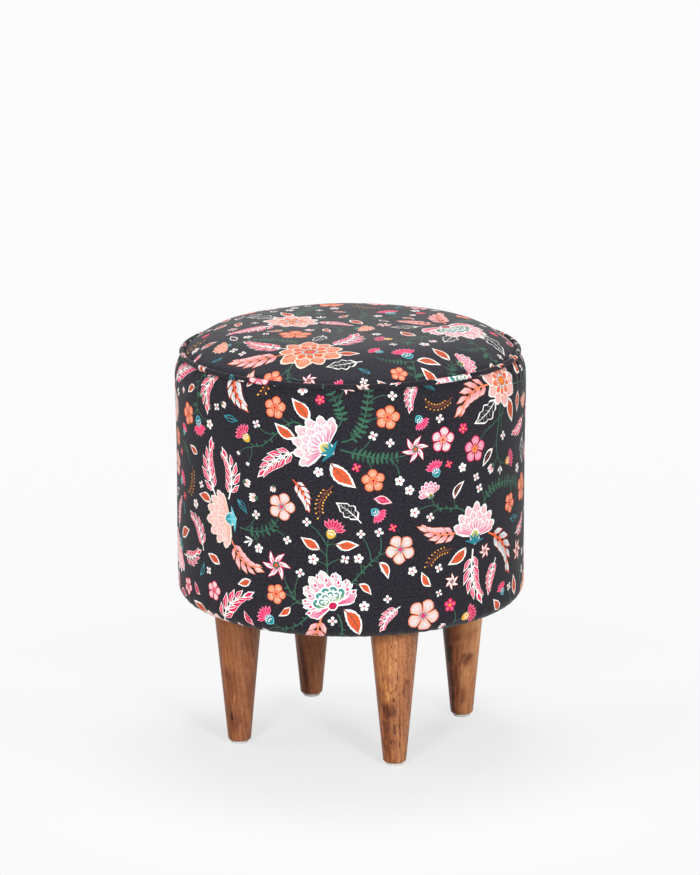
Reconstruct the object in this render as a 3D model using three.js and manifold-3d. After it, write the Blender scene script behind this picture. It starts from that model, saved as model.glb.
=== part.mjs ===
// Round upholstered stool: a fabric-covered drum with a crowned seat, piped at the top
// edge, on four straight tapered wooden legs. Millimetres, +Z up. The origin is on the
// floor under the middle of the stool, and the front is towards -Y.

import * as THREE from 'three';
import { mergeVertices } from 'three/addons/utils/BufferGeometryUtils.js';
import Module from 'manifold-3d';

const wasm = await Module();
wasm.setup();

// Body
const bodyDiameter = 359;
const legHeight = 150; // floor to the underside of the cover
const sideHeight = 257.4; // underside of the cover to the middle of the piping
const crownRise = 25.6; // middle of the piping to the top of the seat
const crownPower = 6.9; // how flat the seat stays before it rolls over at its edge
const lowerCornerRadius = 16;
const drawInHeight = 18; // part of the side that is pulled in under the piping
const fitGap = 0.3; // clearance between pieces that touch
const overrun = 2; // how far a cutter runs past the face that it cuts

// Cover
const coverThickness = 1;
const pipingDiameter = 5.5;
const pipingInset = 7.2; // side of the body to the middle of the piping
const flangeThickness = 0.8; // sewn edge of the piping, between the two panels
const flangeLength = 8;
const dustThickness = 0.6;
const dustMargin = 3.5; // dust cover outside its staples
const hemMargin = 3.5; // legs' outer edge to the cover's turned-in hem
const dustStepMargin = 1; // legs' outer edge to the dust cover's step

// Padding and frame
const sideFoamThickness = 13;
const seatFoamThickness = 40;
const wallThickness = 3;
const wallJoint = 1.5; // open butt joint of the wall, at the rear
const boardThickness = 12;
const postWidth = 32;
const postInset = 6; // rim of the board to the post

// Legs
const legTopDiameter = 51;
const legFootDiameter = 24;
const legInset = 29.5; // side of the body to the leg's outer edge
const footRound = 1.5;
const legTopRound = 0.8;

// Hanger bolts and tee nuts
const boltDiameter = 8;
const boltInLeg = 32;
const boltPastNut = 2;
const boltTip = 5;
const nutBarrelDiameter = 10.6;
const nutBarrelLength = 9;
const nutFlangeDiameter = 20;
const nutFlangeThickness = 1.6;

// Glides and their nails
const glideDiameter = 18;
const glideThickness = 3;
const glideRimRound = 1;
const nailDiameter = 2.2;
const nailInLeg = 14;
const nailTip = 3;
const nailHeadDiameter = 5.2;
const nailHeadThickness = 0.9;
const nailHeadLift = 0.4; // underside of the nail's head to the floor

// Frame screws
const screwDiameter = 4.2;
const screwLength = 45;
const screwHeadDiameter = 8.4;
const screwHeadDepth = 2.6;
const screwTip = 5;

// Staples
const stapleCrown = 10;
const stapleWire = 0.9;
const stapleLegLength = 9;

// Counts
const drumSegments = 48;
const legSegments = 24;
const smallSegments = 16;
const tinySegments = 10;
const cornerSteps = 4;
const pipingSteps = 9;
const legCount = 4;
const postCount = 4;
const stapleCount = 12;
const crownShares = [0, 0.35, 0.56, 0.7, 0.81, 0.89, 0.95, 1]; // of the seat panel's radius
const drawInShares = [0, 0.4, 0.72, 1]; // of the drawn-in height

// Places that follow from the sizes above
const bodyRadius = bodyDiameter / 2;
const coverDepth = coverThickness + fitGap; // outer face of the cover to the padding
const cornerCentreRadius = bodyRadius - lowerCornerRadius;
const cornerCentreHeight = legHeight + lowerCornerRadius;
const pipingRadius = bodyRadius - pipingInset;
const pipingHeight = legHeight + sideHeight;
const cordRadius = pipingDiameter / 2;
const seatTop = pipingHeight + crownRise;
const seatPanelRadius = pipingRadius - cordRadius - fitGap;
const sideTop = pipingHeight - cordRadius - fitGap;
const drawInStart = sideTop - drawInHeight;
const flangeOuter = pipingRadius - coverDepth;
const flangeInner = flangeOuter - flangeThickness;
const flangeFoot = sideTop - flangeLength;
const paddingNeck = flangeInner - fitGap; // padding radius beside the piping's flange
const wallOuter = bodyRadius - coverDepth - sideFoamThickness - fitGap;
const wallInner = wallOuter - wallThickness;
const boardRadius = wallInner - fitGap;
const baseUnder = legHeight + coverDepth;
const baseTop = baseUnder + boardThickness;
const seatBoardTop = seatTop - coverDepth - seatFoamThickness - fitGap;
const seatBoardUnder = seatBoardTop - boardThickness;
const dustTop = baseUnder - fitGap;
const legTop = dustTop - dustThickness - fitGap;
const legTopRadius = legTopDiameter / 2;
const legFootRadius = legFootDiameter / 2;
const legReach = bodyRadius - legInset;
const legCircle = legReach - legTopRadius;
const legFoot = glideThickness + fitGap;
const hemInner = legReach + hemMargin;
const stapleCircle = (hemInner + boardRadius) / 2;
const dustEdgeTop = legHeight - fitGap;
const dustRadius = stapleCircle + dustMargin;
const postCircle = boardRadius - postInset - postWidth / 2;

const fabric = { color: 0x38363f, roughness: 0.9, metalness: 0 };
const foam = { color: 0xe8e0c4, roughness: 0.95, metalness: 0 };
const plywood = { color: 0xc9a678, roughness: 0.75, metalness: 0 };
const hardboard = { color: 0x7d5a3c, roughness: 0.8, metalness: 0 };
const pine = { color: 0xd8b98a, roughness: 0.75, metalness: 0 };
const legWood = { color: 0x8a5a36, roughness: 0.45, metalness: 0 };
const dustCloth = { color: 0x1c1c1e, roughness: 0.95, metalness: 0 };
const zincSteel = { color: 0xb4b6b8, roughness: 0.35, metalness: 1 };
const plastic = { color: 0x77787a, roughness: 0.5, metalness: 0 };

// A solid of revolution about Z. Its outline runs anticlockwise through [radius, height]
// points, and starts and ends on the axis or closes on itself.
function turned(outline, segments) {
  const points = outline.map(([radius, height]) => new THREE.Vector2(radius, height));
  return new THREE.LatheGeometry(points, segments).rotateX(Math.PI / 2);
}

// A ring of revolution, whose outline is closed for it
function ring(outline, segments) {
  return turned([...outline, outline[0]], segments);
}

// A round bar or hole about Z between two heights
function bar(radius, low, high, segments) {
  return turned([[0, low], [radius, low], [radius, high], [0, high]], segments);
}

function toManifold(geometry) {
  const bare = geometry.clone();
  bare.deleteAttribute('normal');
  bare.deleteAttribute('uv');
  const welded = mergeVertices(bare);
  const index = welded.getIndex().array;
  const corners = [];
  for (let i = 0; i < index.length; i += 3) {
    const [a, b, c] = index.slice(i, i + 3);
    if (a !== b && b !== c && c !== a) corners.push(a, b, c);
  }
  const vertProperties = new Float32Array(welded.getAttribute('position').array);
  const triVerts = new Uint32Array(corners);
  return new wasm.Manifold(new wasm.Mesh({ numProp: 3, vertProperties, triVerts }));
}

// Takes the cutters away from a solid
function cut(geometry, cutters) {
  let solid = toManifold(geometry);
  for (const cutter of cutters) solid = solid.subtract(toManifold(cutter));
  const mesh = solid.getMesh();
  const result = new THREE.BufferGeometry();
  result.setAttribute('position', new THREE.BufferAttribute(mesh.vertProperties, 3));
  result.setIndex(new THREE.BufferAttribute(mesh.triVerts, 1));
  result.computeVertexNormals();
  return result;
}

function piece(name, geometry, finish) {
  const mesh = new THREE.Mesh(geometry, new THREE.MeshStandardMaterial(finish));
  mesh.name = name;
  return mesh;
}

// A point at one angle round the stool, counted from the front-left leg
function around(circle, angle) {
  return [circle * Math.cos(angle), circle * Math.sin(angle)];
}

// The cover's outer face, moved inwards by a depth

function crownPoint(share, depth) {
  const radius = seatPanelRadius * share;
  const height = pipingHeight + crownRise * (1 - share ** crownPower);
  const slope = (crownRise * crownPower * share ** (crownPower - 1)) / seatPanelRadius;
  const length = Math.hypot(slope, 1);
  return [radius - (depth * slope) / length, height - depth / length];
}

function sideRadius(height, depth) {
  const share = Math.max(0, (height - drawInStart) / drawInHeight);
  return bodyRadius - depth - pipingInset * share ** 2;
}

function cornerPoint(share, depth) {
  const angle = (share - 1) * (Math.PI / 2);
  const radius = lowerCornerRadius - depth;
  return [
    cornerCentreRadius + radius * Math.cos(angle),
    cornerCentreHeight + radius * Math.sin(angle),
  ];
}

function undersideHeight(radius, depth) {
  const across = Math.max(0, radius - cornerCentreRadius);
  return cornerCentreHeight - Math.sqrt((lowerCornerRadius - depth) ** 2 - across ** 2);
}

// Cover

function topCover() {
  const outer = crownShares.map((share) => crownPoint(share, 0)).reverse();
  const inner = crownShares.map((share) => crownPoint(share, coverThickness));
  return turned([...inner, ...outer], drumSegments);
}

function sideCover() {
  const face = (depth) => {
    const points = [[hemInner, legHeight + depth]];
    for (let i = 0; i <= cornerSteps; i += 1) points.push(cornerPoint(i / cornerSteps, depth));
    for (const share of drawInShares) {
      const height = drawInStart + share * drawInHeight;
      points.push([sideRadius(height, depth), height]);
    }
    return points;
  };
  const outline = [...face(0), ...face(coverThickness).reverse()];
  return cut(ring(outline, drumSegments), stapleHoles());
}

function piping() {
  const angleAt = (radius) => {
    const across = radius - pipingRadius;
    return Math.atan2(-Math.sqrt(cordRadius ** 2 - across ** 2), across);
  };
  const start = angleAt(flangeOuter);
  const end = angleAt(flangeInner) + 2 * Math.PI;
  const outline = [[flangeInner, flangeFoot], [flangeOuter, flangeFoot]];
  for (let i = 0; i <= pipingSteps; i += 1) {
    const angle = start + (i / pipingSteps) * (end - start);
    const radius = pipingRadius + cordRadius * Math.cos(angle);
    outline.push([radius, pipingHeight + cordRadius * Math.sin(angle)]);
  }
  return ring(outline, drumSegments);
}

function dustCover() {
  const stepInner = legReach + dustStepMargin;
  const stepOuter = hemInner - fitGap;
  const sheet = turned([
    [0, dustTop - dustThickness],
    [stepInner, dustTop - dustThickness],
    [stepOuter, dustEdgeTop - dustThickness],
    [dustRadius, dustEdgeTop - dustThickness],
    [dustRadius, dustEdgeTop],
    [stepOuter, dustEdgeTop],
    [stepInner, dustTop],
    [0, dustTop],
  ], drumSegments);
  return cut(sheet, [...boltHoles(boltDiameter / 2 + fitGap), ...stapleHoles()]);
}

// Padding: one envelope inside the cover, parted at the top of the seat board

function paddingSide(low, high) {
  const shoulder = flangeFoot - fitGap;
  const heights = [low, high, shoulder, ...drawInShares.map((s) => drawInStart + s * drawInHeight)];
  const kept = [...new Set(heights)].filter((h) => h >= low && h <= high).sort((a, b) => a - b);
  const points = [];
  for (const height of kept) {
    const radius = sideRadius(height, coverDepth);
    if (height <= shoulder) points.push([radius, height]);
    if (height >= shoulder) points.push([Math.min(radius, paddingNeck), height]);
  }
  return points;
}

function seatFoam() {
  const crown = crownShares.map((share) => crownPoint(share, coverDepth)).reverse();
  const neckTop = crown[0][1] - fitGap;
  const low = seatBoardTop + fitGap;
  return turned([[0, low], ...paddingSide(low, neckTop), ...crown], drumSegments);
}

function sideFoam() {
  const inner = wallOuter + fitGap;
  const foot = undersideHeight(inner, coverDepth);
  const outline = [[inner, foot]];
  for (let i = 0; i <= cornerSteps; i += 1) {
    const point = cornerPoint(i / cornerSteps, coverDepth);
    if (point[0] > inner) outline.push(point);
  }
  outline.push(...paddingSide(drawInStart, seatBoardTop), [inner, seatBoardTop]);
  return ring(outline, drumSegments);
}

// Frame

function drumWall() {
  const low = Math.max(baseUnder, undersideHeight(wallOuter, coverDepth) + fitGap);
  const hoop = ring([
    [wallInner, low],
    [wallOuter, low],
    [wallOuter, seatBoardTop],
    [wallInner, seatBoardTop],
  ], drumSegments);
  const height = seatBoardTop - low;
  const gap = new THREE.BoxGeometry(wallJoint, wallThickness + 2 * overrun, height + 2 * overrun);
  gap.translate(0, (wallInner + wallOuter) / 2, low + height / 2);
  return cut(hoop, [gap]);
}

function screw(allowance, extraHead) {
  const shank = screwDiameter / 2 + allowance;
  const head = screwHeadDiameter / 2 + allowance;
  return turned([
    [0, -screwLength - allowance],
    [shank, screwTip - screwLength],
    [shank, -screwHeadDepth - allowance],
    [head, -allowance],
    [head, extraHead],
    [0, extraHead],
  ], tinySegments);
}

// Screws stand head up on the seat board and head down under the base board
function screwHoles() {
  const holes = [];
  for (let i = 0; i < postCount; i += 1) {
    const [x, y] = around(postCircle, (i * 2 * Math.PI) / postCount);
    holes.push(screw(fitGap, overrun).translate(x, y, seatBoardTop));
    holes.push(screw(fitGap, overrun).rotateX(Math.PI).translate(x, y, baseUnder));
  }
  return holes;
}

function boltHoles(radius) {
  const holes = [];
  for (let i = 0; i < legCount; i += 1) {
    const [x, y] = around(legCircle, legAngle(i));
    holes.push(bar(radius, legTop - overrun, baseTop + overrun, smallSegments).translate(x, y, 0));
  }
  return holes;
}

function legAngle(i) {
  return ((i + 1 / 2) * 2 * Math.PI) / legCount;
}

function seatBoard() {
  return cut(bar(boardRadius, seatBoardUnder, seatBoardTop, drumSegments), screwHoles());
}

// The base board's lower edge is rounded where the cover's corner would cut into it
function baseBoard() {
  const outline = [[0, baseUnder]];
  for (let i = 0; i <= cornerSteps; i += 1) {
    const point = cornerPoint(i / cornerSteps, coverDepth);
    if (point[0] < boardRadius) outline.push(point);
  }
  const rim = Math.max(baseUnder, undersideHeight(boardRadius, coverDepth));
  outline.push([boardRadius, rim], [boardRadius, baseTop], [0, baseTop]);
  const holes = [...boltHoles(nutBarrelDiameter / 2 + fitGap), ...screwHoles(), ...stapleHoles()];
  return cut(turned(outline, drumSegments), holes);
}

function post() {
  const low = baseTop + fitGap;
  const height = seatBoardUnder - fitGap - low;
  const block = new THREE.BoxGeometry(postWidth, postWidth, height);
  block.translate(0, 0, low + height / 2);
  const upper = screw(fitGap, overrun).translate(0, 0, seatBoardTop);
  const lower = screw(fitGap, overrun).rotateX(Math.PI).translate(0, 0, baseUnder);
  return cut(block, [upper, lower]);
}

// Legs and what holds them

const boltLow = legTop - boltInLeg;
const nailHigh = legFoot + nailInLeg;

function leg() {
  const boltHole = boltDiameter / 2 + fitGap;
  const nailHole = nailDiameter / 2 + fitGap;
  return turned([
    [0, nailHigh + fitGap],
    [nailHole, nailHigh + fitGap],
    [nailHole, legFoot],
    [legFootRadius - footRound, legFoot],
    [legFootRadius, legFoot + footRound],
    [legTopRadius, legTop - legTopRound],
    [legTopRadius - legTopRound, legTop],
    [boltHole, legTop],
    [boltHole, boltLow - fitGap],
    [0, boltLow - fitGap],
  ], legSegments);
}

const nutSeat = baseTop + fitGap;

function hangerBolt() {
  const radius = boltDiameter / 2;
  const top = nutSeat + nutFlangeThickness + boltPastNut;
  return turned([[0, boltLow], [radius, boltLow + boltTip], [radius, top], [0, top]], tinySegments);
}

function teeNut() {
  const bore = boltDiameter / 2 + fitGap;
  return ring([
    [bore, nutSeat - nutBarrelLength],
    [nutBarrelDiameter / 2, nutSeat - nutBarrelLength],
    [nutBarrelDiameter / 2, nutSeat],
    [nutFlangeDiameter / 2, nutSeat],
    [nutFlangeDiameter / 2, nutSeat + nutFlangeThickness],
    [bore, nutSeat + nutFlangeThickness],
  ], smallSegments);
}

function glide() {
  const radius = glideDiameter / 2;
  const hole = nailDiameter / 2 + fitGap;
  const recess = nailHeadDiameter / 2 + fitGap;
  const recessTop = nailHeadLift + nailHeadThickness + fitGap;
  return ring([
    [recess, 0],
    [radius - glideRimRound, 0],
    [radius, glideRimRound],
    [radius, glideThickness],
    [hole, glideThickness],
    [hole, recessTop],
    [recess, recessTop],
  ], smallSegments);
}

function glideNail() {
  const radius = nailDiameter / 2;
  const head = nailHeadDiameter / 2;
  return turned([
    [0, nailHeadLift],
    [head, nailHeadLift],
    [head, nailHeadLift + nailHeadThickness],
    [radius, nailHeadLift + nailHeadThickness],
    [radius, nailHigh - nailTip],
    [0, nailHigh],
  ], tinySegments);
}

// Staples through the dust cover and the hem into the base board

const stapleTop = dustEdgeTop - dustThickness - fitGap;
const stapleLow = stapleTop - stapleWire;

function staple() {
  const half = stapleCrown / 2;
  const inner = half - stapleWire;
  const high = stapleLow + stapleLegLength;
  const wire = new THREE.Shape();
  wire.moveTo(-half, stapleLow);
  wire.lineTo(half, stapleLow);
  wire.lineTo(half, high);
  wire.lineTo(inner, high);
  wire.lineTo(inner, stapleTop);
  wire.lineTo(-inner, stapleTop);
  wire.lineTo(-inner, high);
  wire.lineTo(-half, high);
  const bent = new THREE.ExtrudeGeometry(wire, { depth: stapleWire, bevelEnabled: false });
  return bent.translate(0, 0, -stapleWire / 2).rotateX(Math.PI / 2);
}

function stapleAngle(i) {
  return ((i + 1 / 2) * 2 * Math.PI) / stapleCount;
}

function stapleHoles() {
  const width = stapleWire + 2 * fitGap;
  const high = stapleLow + stapleLegLength + fitGap;
  const height = high - stapleLow + overrun;
  const across = (stapleCrown - stapleWire) / 2;
  const holes = [];
  for (let i = 0; i < stapleCount; i += 1) {
    const [x, y] = around(stapleCircle, stapleAngle(i));
    for (const side of [-across, across]) {
      const hole = new THREE.BoxGeometry(width, width, height);
      hole.translate(side, 0, high - height / 2);
      holes.push(hole.rotateZ(stapleAngle(i) - Math.PI / 2).translate(x, y, 0));
    }
  }
  return holes;
}

// Assembly

const stool = new THREE.Group();
stool.add(
  piece('seat_board', seatBoard(), plywood),
  piece('base_board', baseBoard(), plywood),
  piece('drum_wall', drumWall(), hardboard),
  piece('seat_foam', seatFoam(), foam),
  piece('side_foam', sideFoam(), foam),
  piece('top_cover', topCover(), fabric),
  piece('side_cover', sideCover(), fabric),
  piece('piping', piping(), fabric),
  piece('dust_cover', dustCover(), dustCloth),
);

const postPlaces = ['right', 'rear', 'left', 'front'];
for (let i = 0; i < postCount; i += 1) {
  const angle = (i * 2 * Math.PI) / postCount;
  const place = postPlaces[i] ?? i;
  const station = new THREE.Group();
  station.position.set(...around(postCircle, angle), 0);
  station.rotation.z = angle;
  station.add(piece(`post_${place}`, post(), pine));
  const seatScrew = piece(`seat_screw_${place}`, screw(0, 0), zincSteel);
  seatScrew.position.z = seatBoardTop;
  const baseScrew = piece(`base_screw_${place}`, screw(0, 0).rotateX(Math.PI), zincSteel);
  baseScrew.position.z = baseUnder;
  station.add(seatScrew, baseScrew);
  stool.add(station);
}

const legPlaces = ['rear_right', 'rear_left', 'front_left', 'front_right'];
for (let i = 0; i < legCount; i += 1) {
  const place = legPlaces[i] ?? i;
  const station = new THREE.Group();
  station.position.set(...around(legCircle, legAngle(i)), 0);
  station.add(
    piece(`leg_${place}`, leg(), legWood),
    piece(`hanger_bolt_${place}`, hangerBolt(), zincSteel),
    piece(`tee_nut_${place}`, teeNut(), zincSteel),
    piece(`glide_${place}`, glide(), plastic),
    piece(`glide_nail_${place}`, glideNail(), zincSteel),
  );
  stool.add(station);
}

for (let i = 0; i < stapleCount; i += 1) {
  const wire = piece(`staple_${String(i + 1).padStart(2, '0')}`, staple(), zincSteel);
  wire.position.set(...around(stapleCircle, stapleAngle(i)), 0);
  wire.rotation.z = stapleAngle(i) - Math.PI / 2;
  stool.add(wire);
}

export default stool;
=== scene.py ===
# Round tuffet: a piped, foam-filled seat in printed cotton on four turned wooden legs.
# Pieces are in metres. Cloth is printed and cut flat, in millimetres, and then sewn round the drum.
import cmath
import math
import random

import bpy
import numpy as np
from mathutils import Euler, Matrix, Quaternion, Vector
from mathutils.geometry import delaunay_2d_cdt


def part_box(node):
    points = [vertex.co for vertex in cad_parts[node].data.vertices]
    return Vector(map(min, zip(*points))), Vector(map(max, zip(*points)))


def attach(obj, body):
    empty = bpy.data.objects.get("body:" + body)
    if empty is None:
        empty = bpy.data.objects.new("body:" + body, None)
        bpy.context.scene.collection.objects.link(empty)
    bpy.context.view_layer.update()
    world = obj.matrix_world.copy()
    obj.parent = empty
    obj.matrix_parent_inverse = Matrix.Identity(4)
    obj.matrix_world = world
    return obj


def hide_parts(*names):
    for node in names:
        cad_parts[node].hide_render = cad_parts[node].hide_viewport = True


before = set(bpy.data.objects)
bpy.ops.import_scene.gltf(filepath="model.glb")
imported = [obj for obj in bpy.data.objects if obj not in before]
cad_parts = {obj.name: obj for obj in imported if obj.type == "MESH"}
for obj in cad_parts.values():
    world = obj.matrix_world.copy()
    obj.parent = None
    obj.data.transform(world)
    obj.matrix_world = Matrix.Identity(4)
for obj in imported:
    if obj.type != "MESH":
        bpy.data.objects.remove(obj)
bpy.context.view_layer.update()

mm = 0.001
fullTurn = 2 * math.pi
print("frame loaded:", len(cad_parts), "solids")


# Camera, floor and light

studio = {
    "lens": 153.6,
    "distance": 3.738,
    "height": 1.2265,
    "sideways": -0.0006,
    "tilt down": 13.715,
    "lean": -0.0046,
    "turn": 24.6,
    "backdrop": 0.975,
    "floor near": 0.955,
    "floor matt": 0.66,
    "matt reach": (0.30, 0.50),
    "lit behind": (0.0, 0.16),
    "behind": 0.95,
    "floor": 0.86,
    "world": 0.28,
}
lamps = {  # degrees to the right of the camera and up from the floor, distance, size and watts
    "frontLeft": (-20, 22, 2.4, 0.5, 27),
    "frontRight": (25, 22, 2.4, 0.5, 29),
    "left": (-88, 24, 2.4, 1.4, 8.5),
    "right": (88, 24, 2.4, 1.4, 2.5),
    "overhead": (176, 78, 2.4, 1.0, 23),
}


def addCamera(look):
    turn = math.radians(look["turn"])
    camera = bpy.data.objects.new("photoCamera", bpy.data.cameras.new("photoCamera"))
    bpy.context.scene.collection.objects.link(camera)
    camera.data.sensor_width = 36
    camera.data.lens = look["lens"]
    camera.data.clip_start, camera.data.clip_end = 0.05, 60
    place = Vector((look["sideways"], -look["distance"], look["height"]))
    place.rotate(Euler((0, 0, turn)))
    camera.location = place
    aim = Euler((math.radians(90 - look["tilt down"]), 0, turn)).to_quaternion()
    camera.rotation_mode = "QUATERNION"
    camera.rotation_quaternion = aim @ Quaternion((0, 0, 1), look["lean"])
    bpy.context.scene.camera = camera


# Short ways to add shader nodes


def addNode(tree, kind, inputs=(), **settings):
    made = tree.nodes.new("ShaderNode" + kind)
    for key, value in settings.items():
        setattr(made, key, value)
    for key, value in dict(inputs).items():
        if isinstance(value, bpy.types.NodeSocket):
            tree.links.new(value, made.inputs[key])
        else:
            made.inputs[key].default_value = value
    return made


def maths(tree, operation, first, second=0.0, third=0.0):
    return addNode(tree, "Math", {0: first, 1: second, 2: third}, operation=operation).outputs[0]


def mixColour(tree, factor, first, second, blend="MIX"):
    return addNode(tree, "Mix", {0: factor, 6: first, 7: second}, data_type="RGBA", blend_type=blend).outputs[2]


def remap(tree, value, low, high, newLow=0.0, newHigh=1.0):
    inputs = {"Value": value, "From Min": low, "From Max": high, "To Min": newLow, "To Max": newHigh}
    return addNode(tree, "MapRange", inputs).outputs[0]


def ramp(tree, factor, stops):
    made = addNode(tree, "ValToRGB", {0: factor})
    elements = made.color_ramp.elements
    while len(elements) < len(stops):
        elements.new(0.5)
    for element, (position, colour) in zip(elements, stops):
        element.position = position
        element.color = colour
    return made.outputs[0]


def noise(tree, place, scale, detail=3.0, stretch=(1, 1, 1), rough=0.55):
    if tuple(stretch) != (1, 1, 1):
        place = addNode(tree, "Mapping", {"Vector": place, "Scale": stretch}).outputs[0]
    inputs = {"Vector": place, "Scale": scale, "Detail": detail, "Roughness": rough}
    return addNode(tree, "TexNoise", inputs).outputs["Fac"]


def colourOf(code, alpha=1.0):
    values = [int(code[i:i + 2], 16) / 255 for i in (1, 3, 5)]
    return tuple(v / 12.92 if v <= 0.04045 else ((v + 0.055) / 1.055) ** 2.4 for v in values) + (alpha,)


def shaderGroup(name, inputs, outputs):
    tree = bpy.data.node_groups.new(name, "ShaderNodeTree")
    for title, kind, value in inputs:
        socket = tree.interface.new_socket(name=title, in_out="INPUT", socket_type="NodeSocket" + kind)
        if value is not None:
            socket.default_value = value
    for title, kind in outputs:
        tree.interface.new_socket(name=title, in_out="OUTPUT", socket_type="NodeSocket" + kind)
    return tree, tree.nodes.new("NodeGroupInput").outputs, tree.nodes.new("NodeGroupOutput").inputs


def useGroup(tree, group, inputs):
    made = tree.nodes.new("ShaderNodeGroup")
    made.node_tree = group
    for key, value in inputs.items():
        if isinstance(value, bpy.types.NodeSocket):
            tree.links.new(value, made.inputs[key])
        else:
            made.inputs[key].default_value = value
    return made.outputs


def newMaterial(name, surface):
    material = bpy.data.materials.new(name)
    material.use_nodes = True
    tree = material.node_tree
    shader = tree.nodes["Principled BSDF"]
    for key, value in surface.items():
        shader.inputs[key].default_value = value
    return material, tree, shader


def bump(tree, shader, height, distance, strength=1.0):
    inputs = {"Height": height, "Distance": distance, "Strength": strength}
    tree.links.new(addNode(tree, "Bump", inputs).outputs[0], shader.inputs["Normal"])


def objectPlace(tree):
    return tree.nodes.new("ShaderNodeTexCoord").outputs["Object"]


# Effects that several materials share


def weaveGroup():
    tree, given, made = shaderGroup(
        "plainWeave",
        [("Place", "Vector", None), ("Threads", "Float", 1200.0), ("Uneven", "Float", 0.5)],
        [("Height", "Float"), ("Tone", "Float")],
    )
    place = addNode(tree, "VectorMath", {0: given["Place"], "Scale": given["Threads"]}, operation="SCALE")
    wander = addNode(tree, "TexNoise", {"Vector": place.outputs[0], "Scale": 0.09, "Detail": 2.0})
    shift = addNode(tree, "VectorMath", {0: wander.outputs["Color"], "Scale": given["Uneven"]}, operation="SCALE")
    bent = addNode(tree, "VectorMath", {0: place.outputs[0], 1: shift.outputs[0]}, operation="ADD")
    split = addNode(tree, "SeparateXYZ", {0: bent.outputs[0]})
    rounds, cells = [], []
    for axis in (0, 1):
        cells.append(maths(tree, "FLOOR", split.outputs[axis]))
        share = maths(tree, "FRACT", split.outputs[axis])
        rounds.append(maths(tree, "SINE", maths(tree, "MULTIPLY", share, math.pi)))
    over = maths(tree, "MODULO", maths(tree, "ADD", cells[0], cells[1]), 2.0)
    over = maths(tree, "ABSOLUTE", over)
    heights, tones = [], []
    for axis in (0, 1):
        crown = maths(tree, "MULTIPLY_ADD", rounds[1 - axis], 0.45, 0.55)
        heights.append(maths(tree, "MULTIPLY", rounds[axis], crown))
        thread = addNode(tree, "TexWhiteNoise", {"W": cells[axis]}, noise_dimensions="1D").outputs["Value"]
        slub = noise(tree, bent.outputs[0], 0.5, 2.0, (0.06, 1, 1) if axis else (1, 0.06, 1))
        tones.append(maths(tree, "MULTIPLY_ADD", thread, 0.35, maths(tree, "MULTIPLY", slub, 0.65)))
    height = addNode(tree, "Mix", {0: over, 2: heights[0], 3: heights[1]}, data_type="FLOAT").outputs[0]
    tone = addNode(tree, "Mix", {0: over, 2: tones[0], 3: tones[1]}, data_type="FLOAT").outputs[0]
    tree.links.new(height, made["Height"])
    tree.links.new(tone, made["Tone"])
    return tree


def woodGroup():
    tree, given, made = shaderGroup(
        "woodGrain",
        [("Place", "Vector", None), ("Ring", "Float", 70.0), ("Wander", "Float", 0.02), ("Seed", "Float", 0.0)],
        [("Grain", "Float"), ("Fibre", "Float"), ("Pore", "Float"), ("Patch", "Float")],
    )
    offset = addNode(tree, "CombineXYZ", {0: given["Seed"], 1: given["Seed"], 2: given["Seed"]}).outputs[0]
    place = addNode(tree, "VectorMath", {0: given["Place"], 1: offset}, operation="ADD").outputs[0]
    long = addNode(tree, "Mapping", {"Vector": place, "Scale": (1, 1, 0.16)}).outputs[0]
    drift = addNode(tree, "TexNoise", {"Vector": long, "Scale": 26.0, "Detail": 3.0}).outputs["Color"]
    drift = addNode(tree, "VectorMath", {0: drift, "Scale": given["Wander"]}, operation="SCALE").outputs[0]
    bent = addNode(tree, "VectorMath", {0: long, 1: drift}, operation="ADD").outputs[0]
    rings = addNode(
        tree, "TexWave", {"Vector": bent, "Scale": given["Ring"], "Distortion": 2.2, "Detail": 3.0, "Detail Scale": 1.6},
        wave_type="BANDS", bands_direction="X", wave_profile="SAW",
    )
    tree.links.new(rings.outputs["Fac"], made["Grain"])
    tree.links.new(noise(tree, bent, 620.0, 3.0, (1, 1, 0.28)), made["Fibre"])
    pore = noise(tree, place, 900.0, 1.0, (1, 1, 0.16), 0.5)
    tree.links.new(remap(tree, pore, 0.62, 0.70), made["Pore"])
    tree.links.new(noise(tree, place, 55.0, 3.0, (1, 1, 0.4)), made["Patch"])
    return tree


def grimeGroup():
    tree, given, made = shaderGroup(
        "speckle",
        [("Place", "Vector", None), ("Size", "Float", 100.0), ("Low", "Float", 0.4), ("High", "Float", 0.7)],
        [("Mask", "Float"), ("Fine", "Float")],
    )
    broad = addNode(tree, "TexNoise", {"Vector": given["Place"], "Scale": given["Size"], "Detail": 5.0}).outputs["Fac"]
    inputs = {"Value": broad, "From Min": given["Low"], "From Max": given["High"]}
    tree.links.new(addNode(tree, "MapRange", inputs).outputs[0], made["Mask"])
    fine = maths(tree, "MULTIPLY", given["Size"], 9.0)
    tree.links.new(
        addNode(tree, "TexNoise", {"Vector": given["Place"], "Scale": fine, "Detail": 2.0}).outputs["Fac"], made["Fine"]
    )
    return tree


weave = weaveGroup()
wood = woodGroup()
speckle = grimeGroup()


def seenDirectly(tree):
    # One where the camera looks at this, or sees it mirrored or through something
    path = tree.nodes.new("ShaderNodeLightPath").outputs
    mirrored = maths(tree, "MAXIMUM", path["Is Glossy Ray"], path["Is Transmission Ray"])
    return maths(tree, "MAXIMUM", path["Is Camera Ray"], mirrored)


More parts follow.
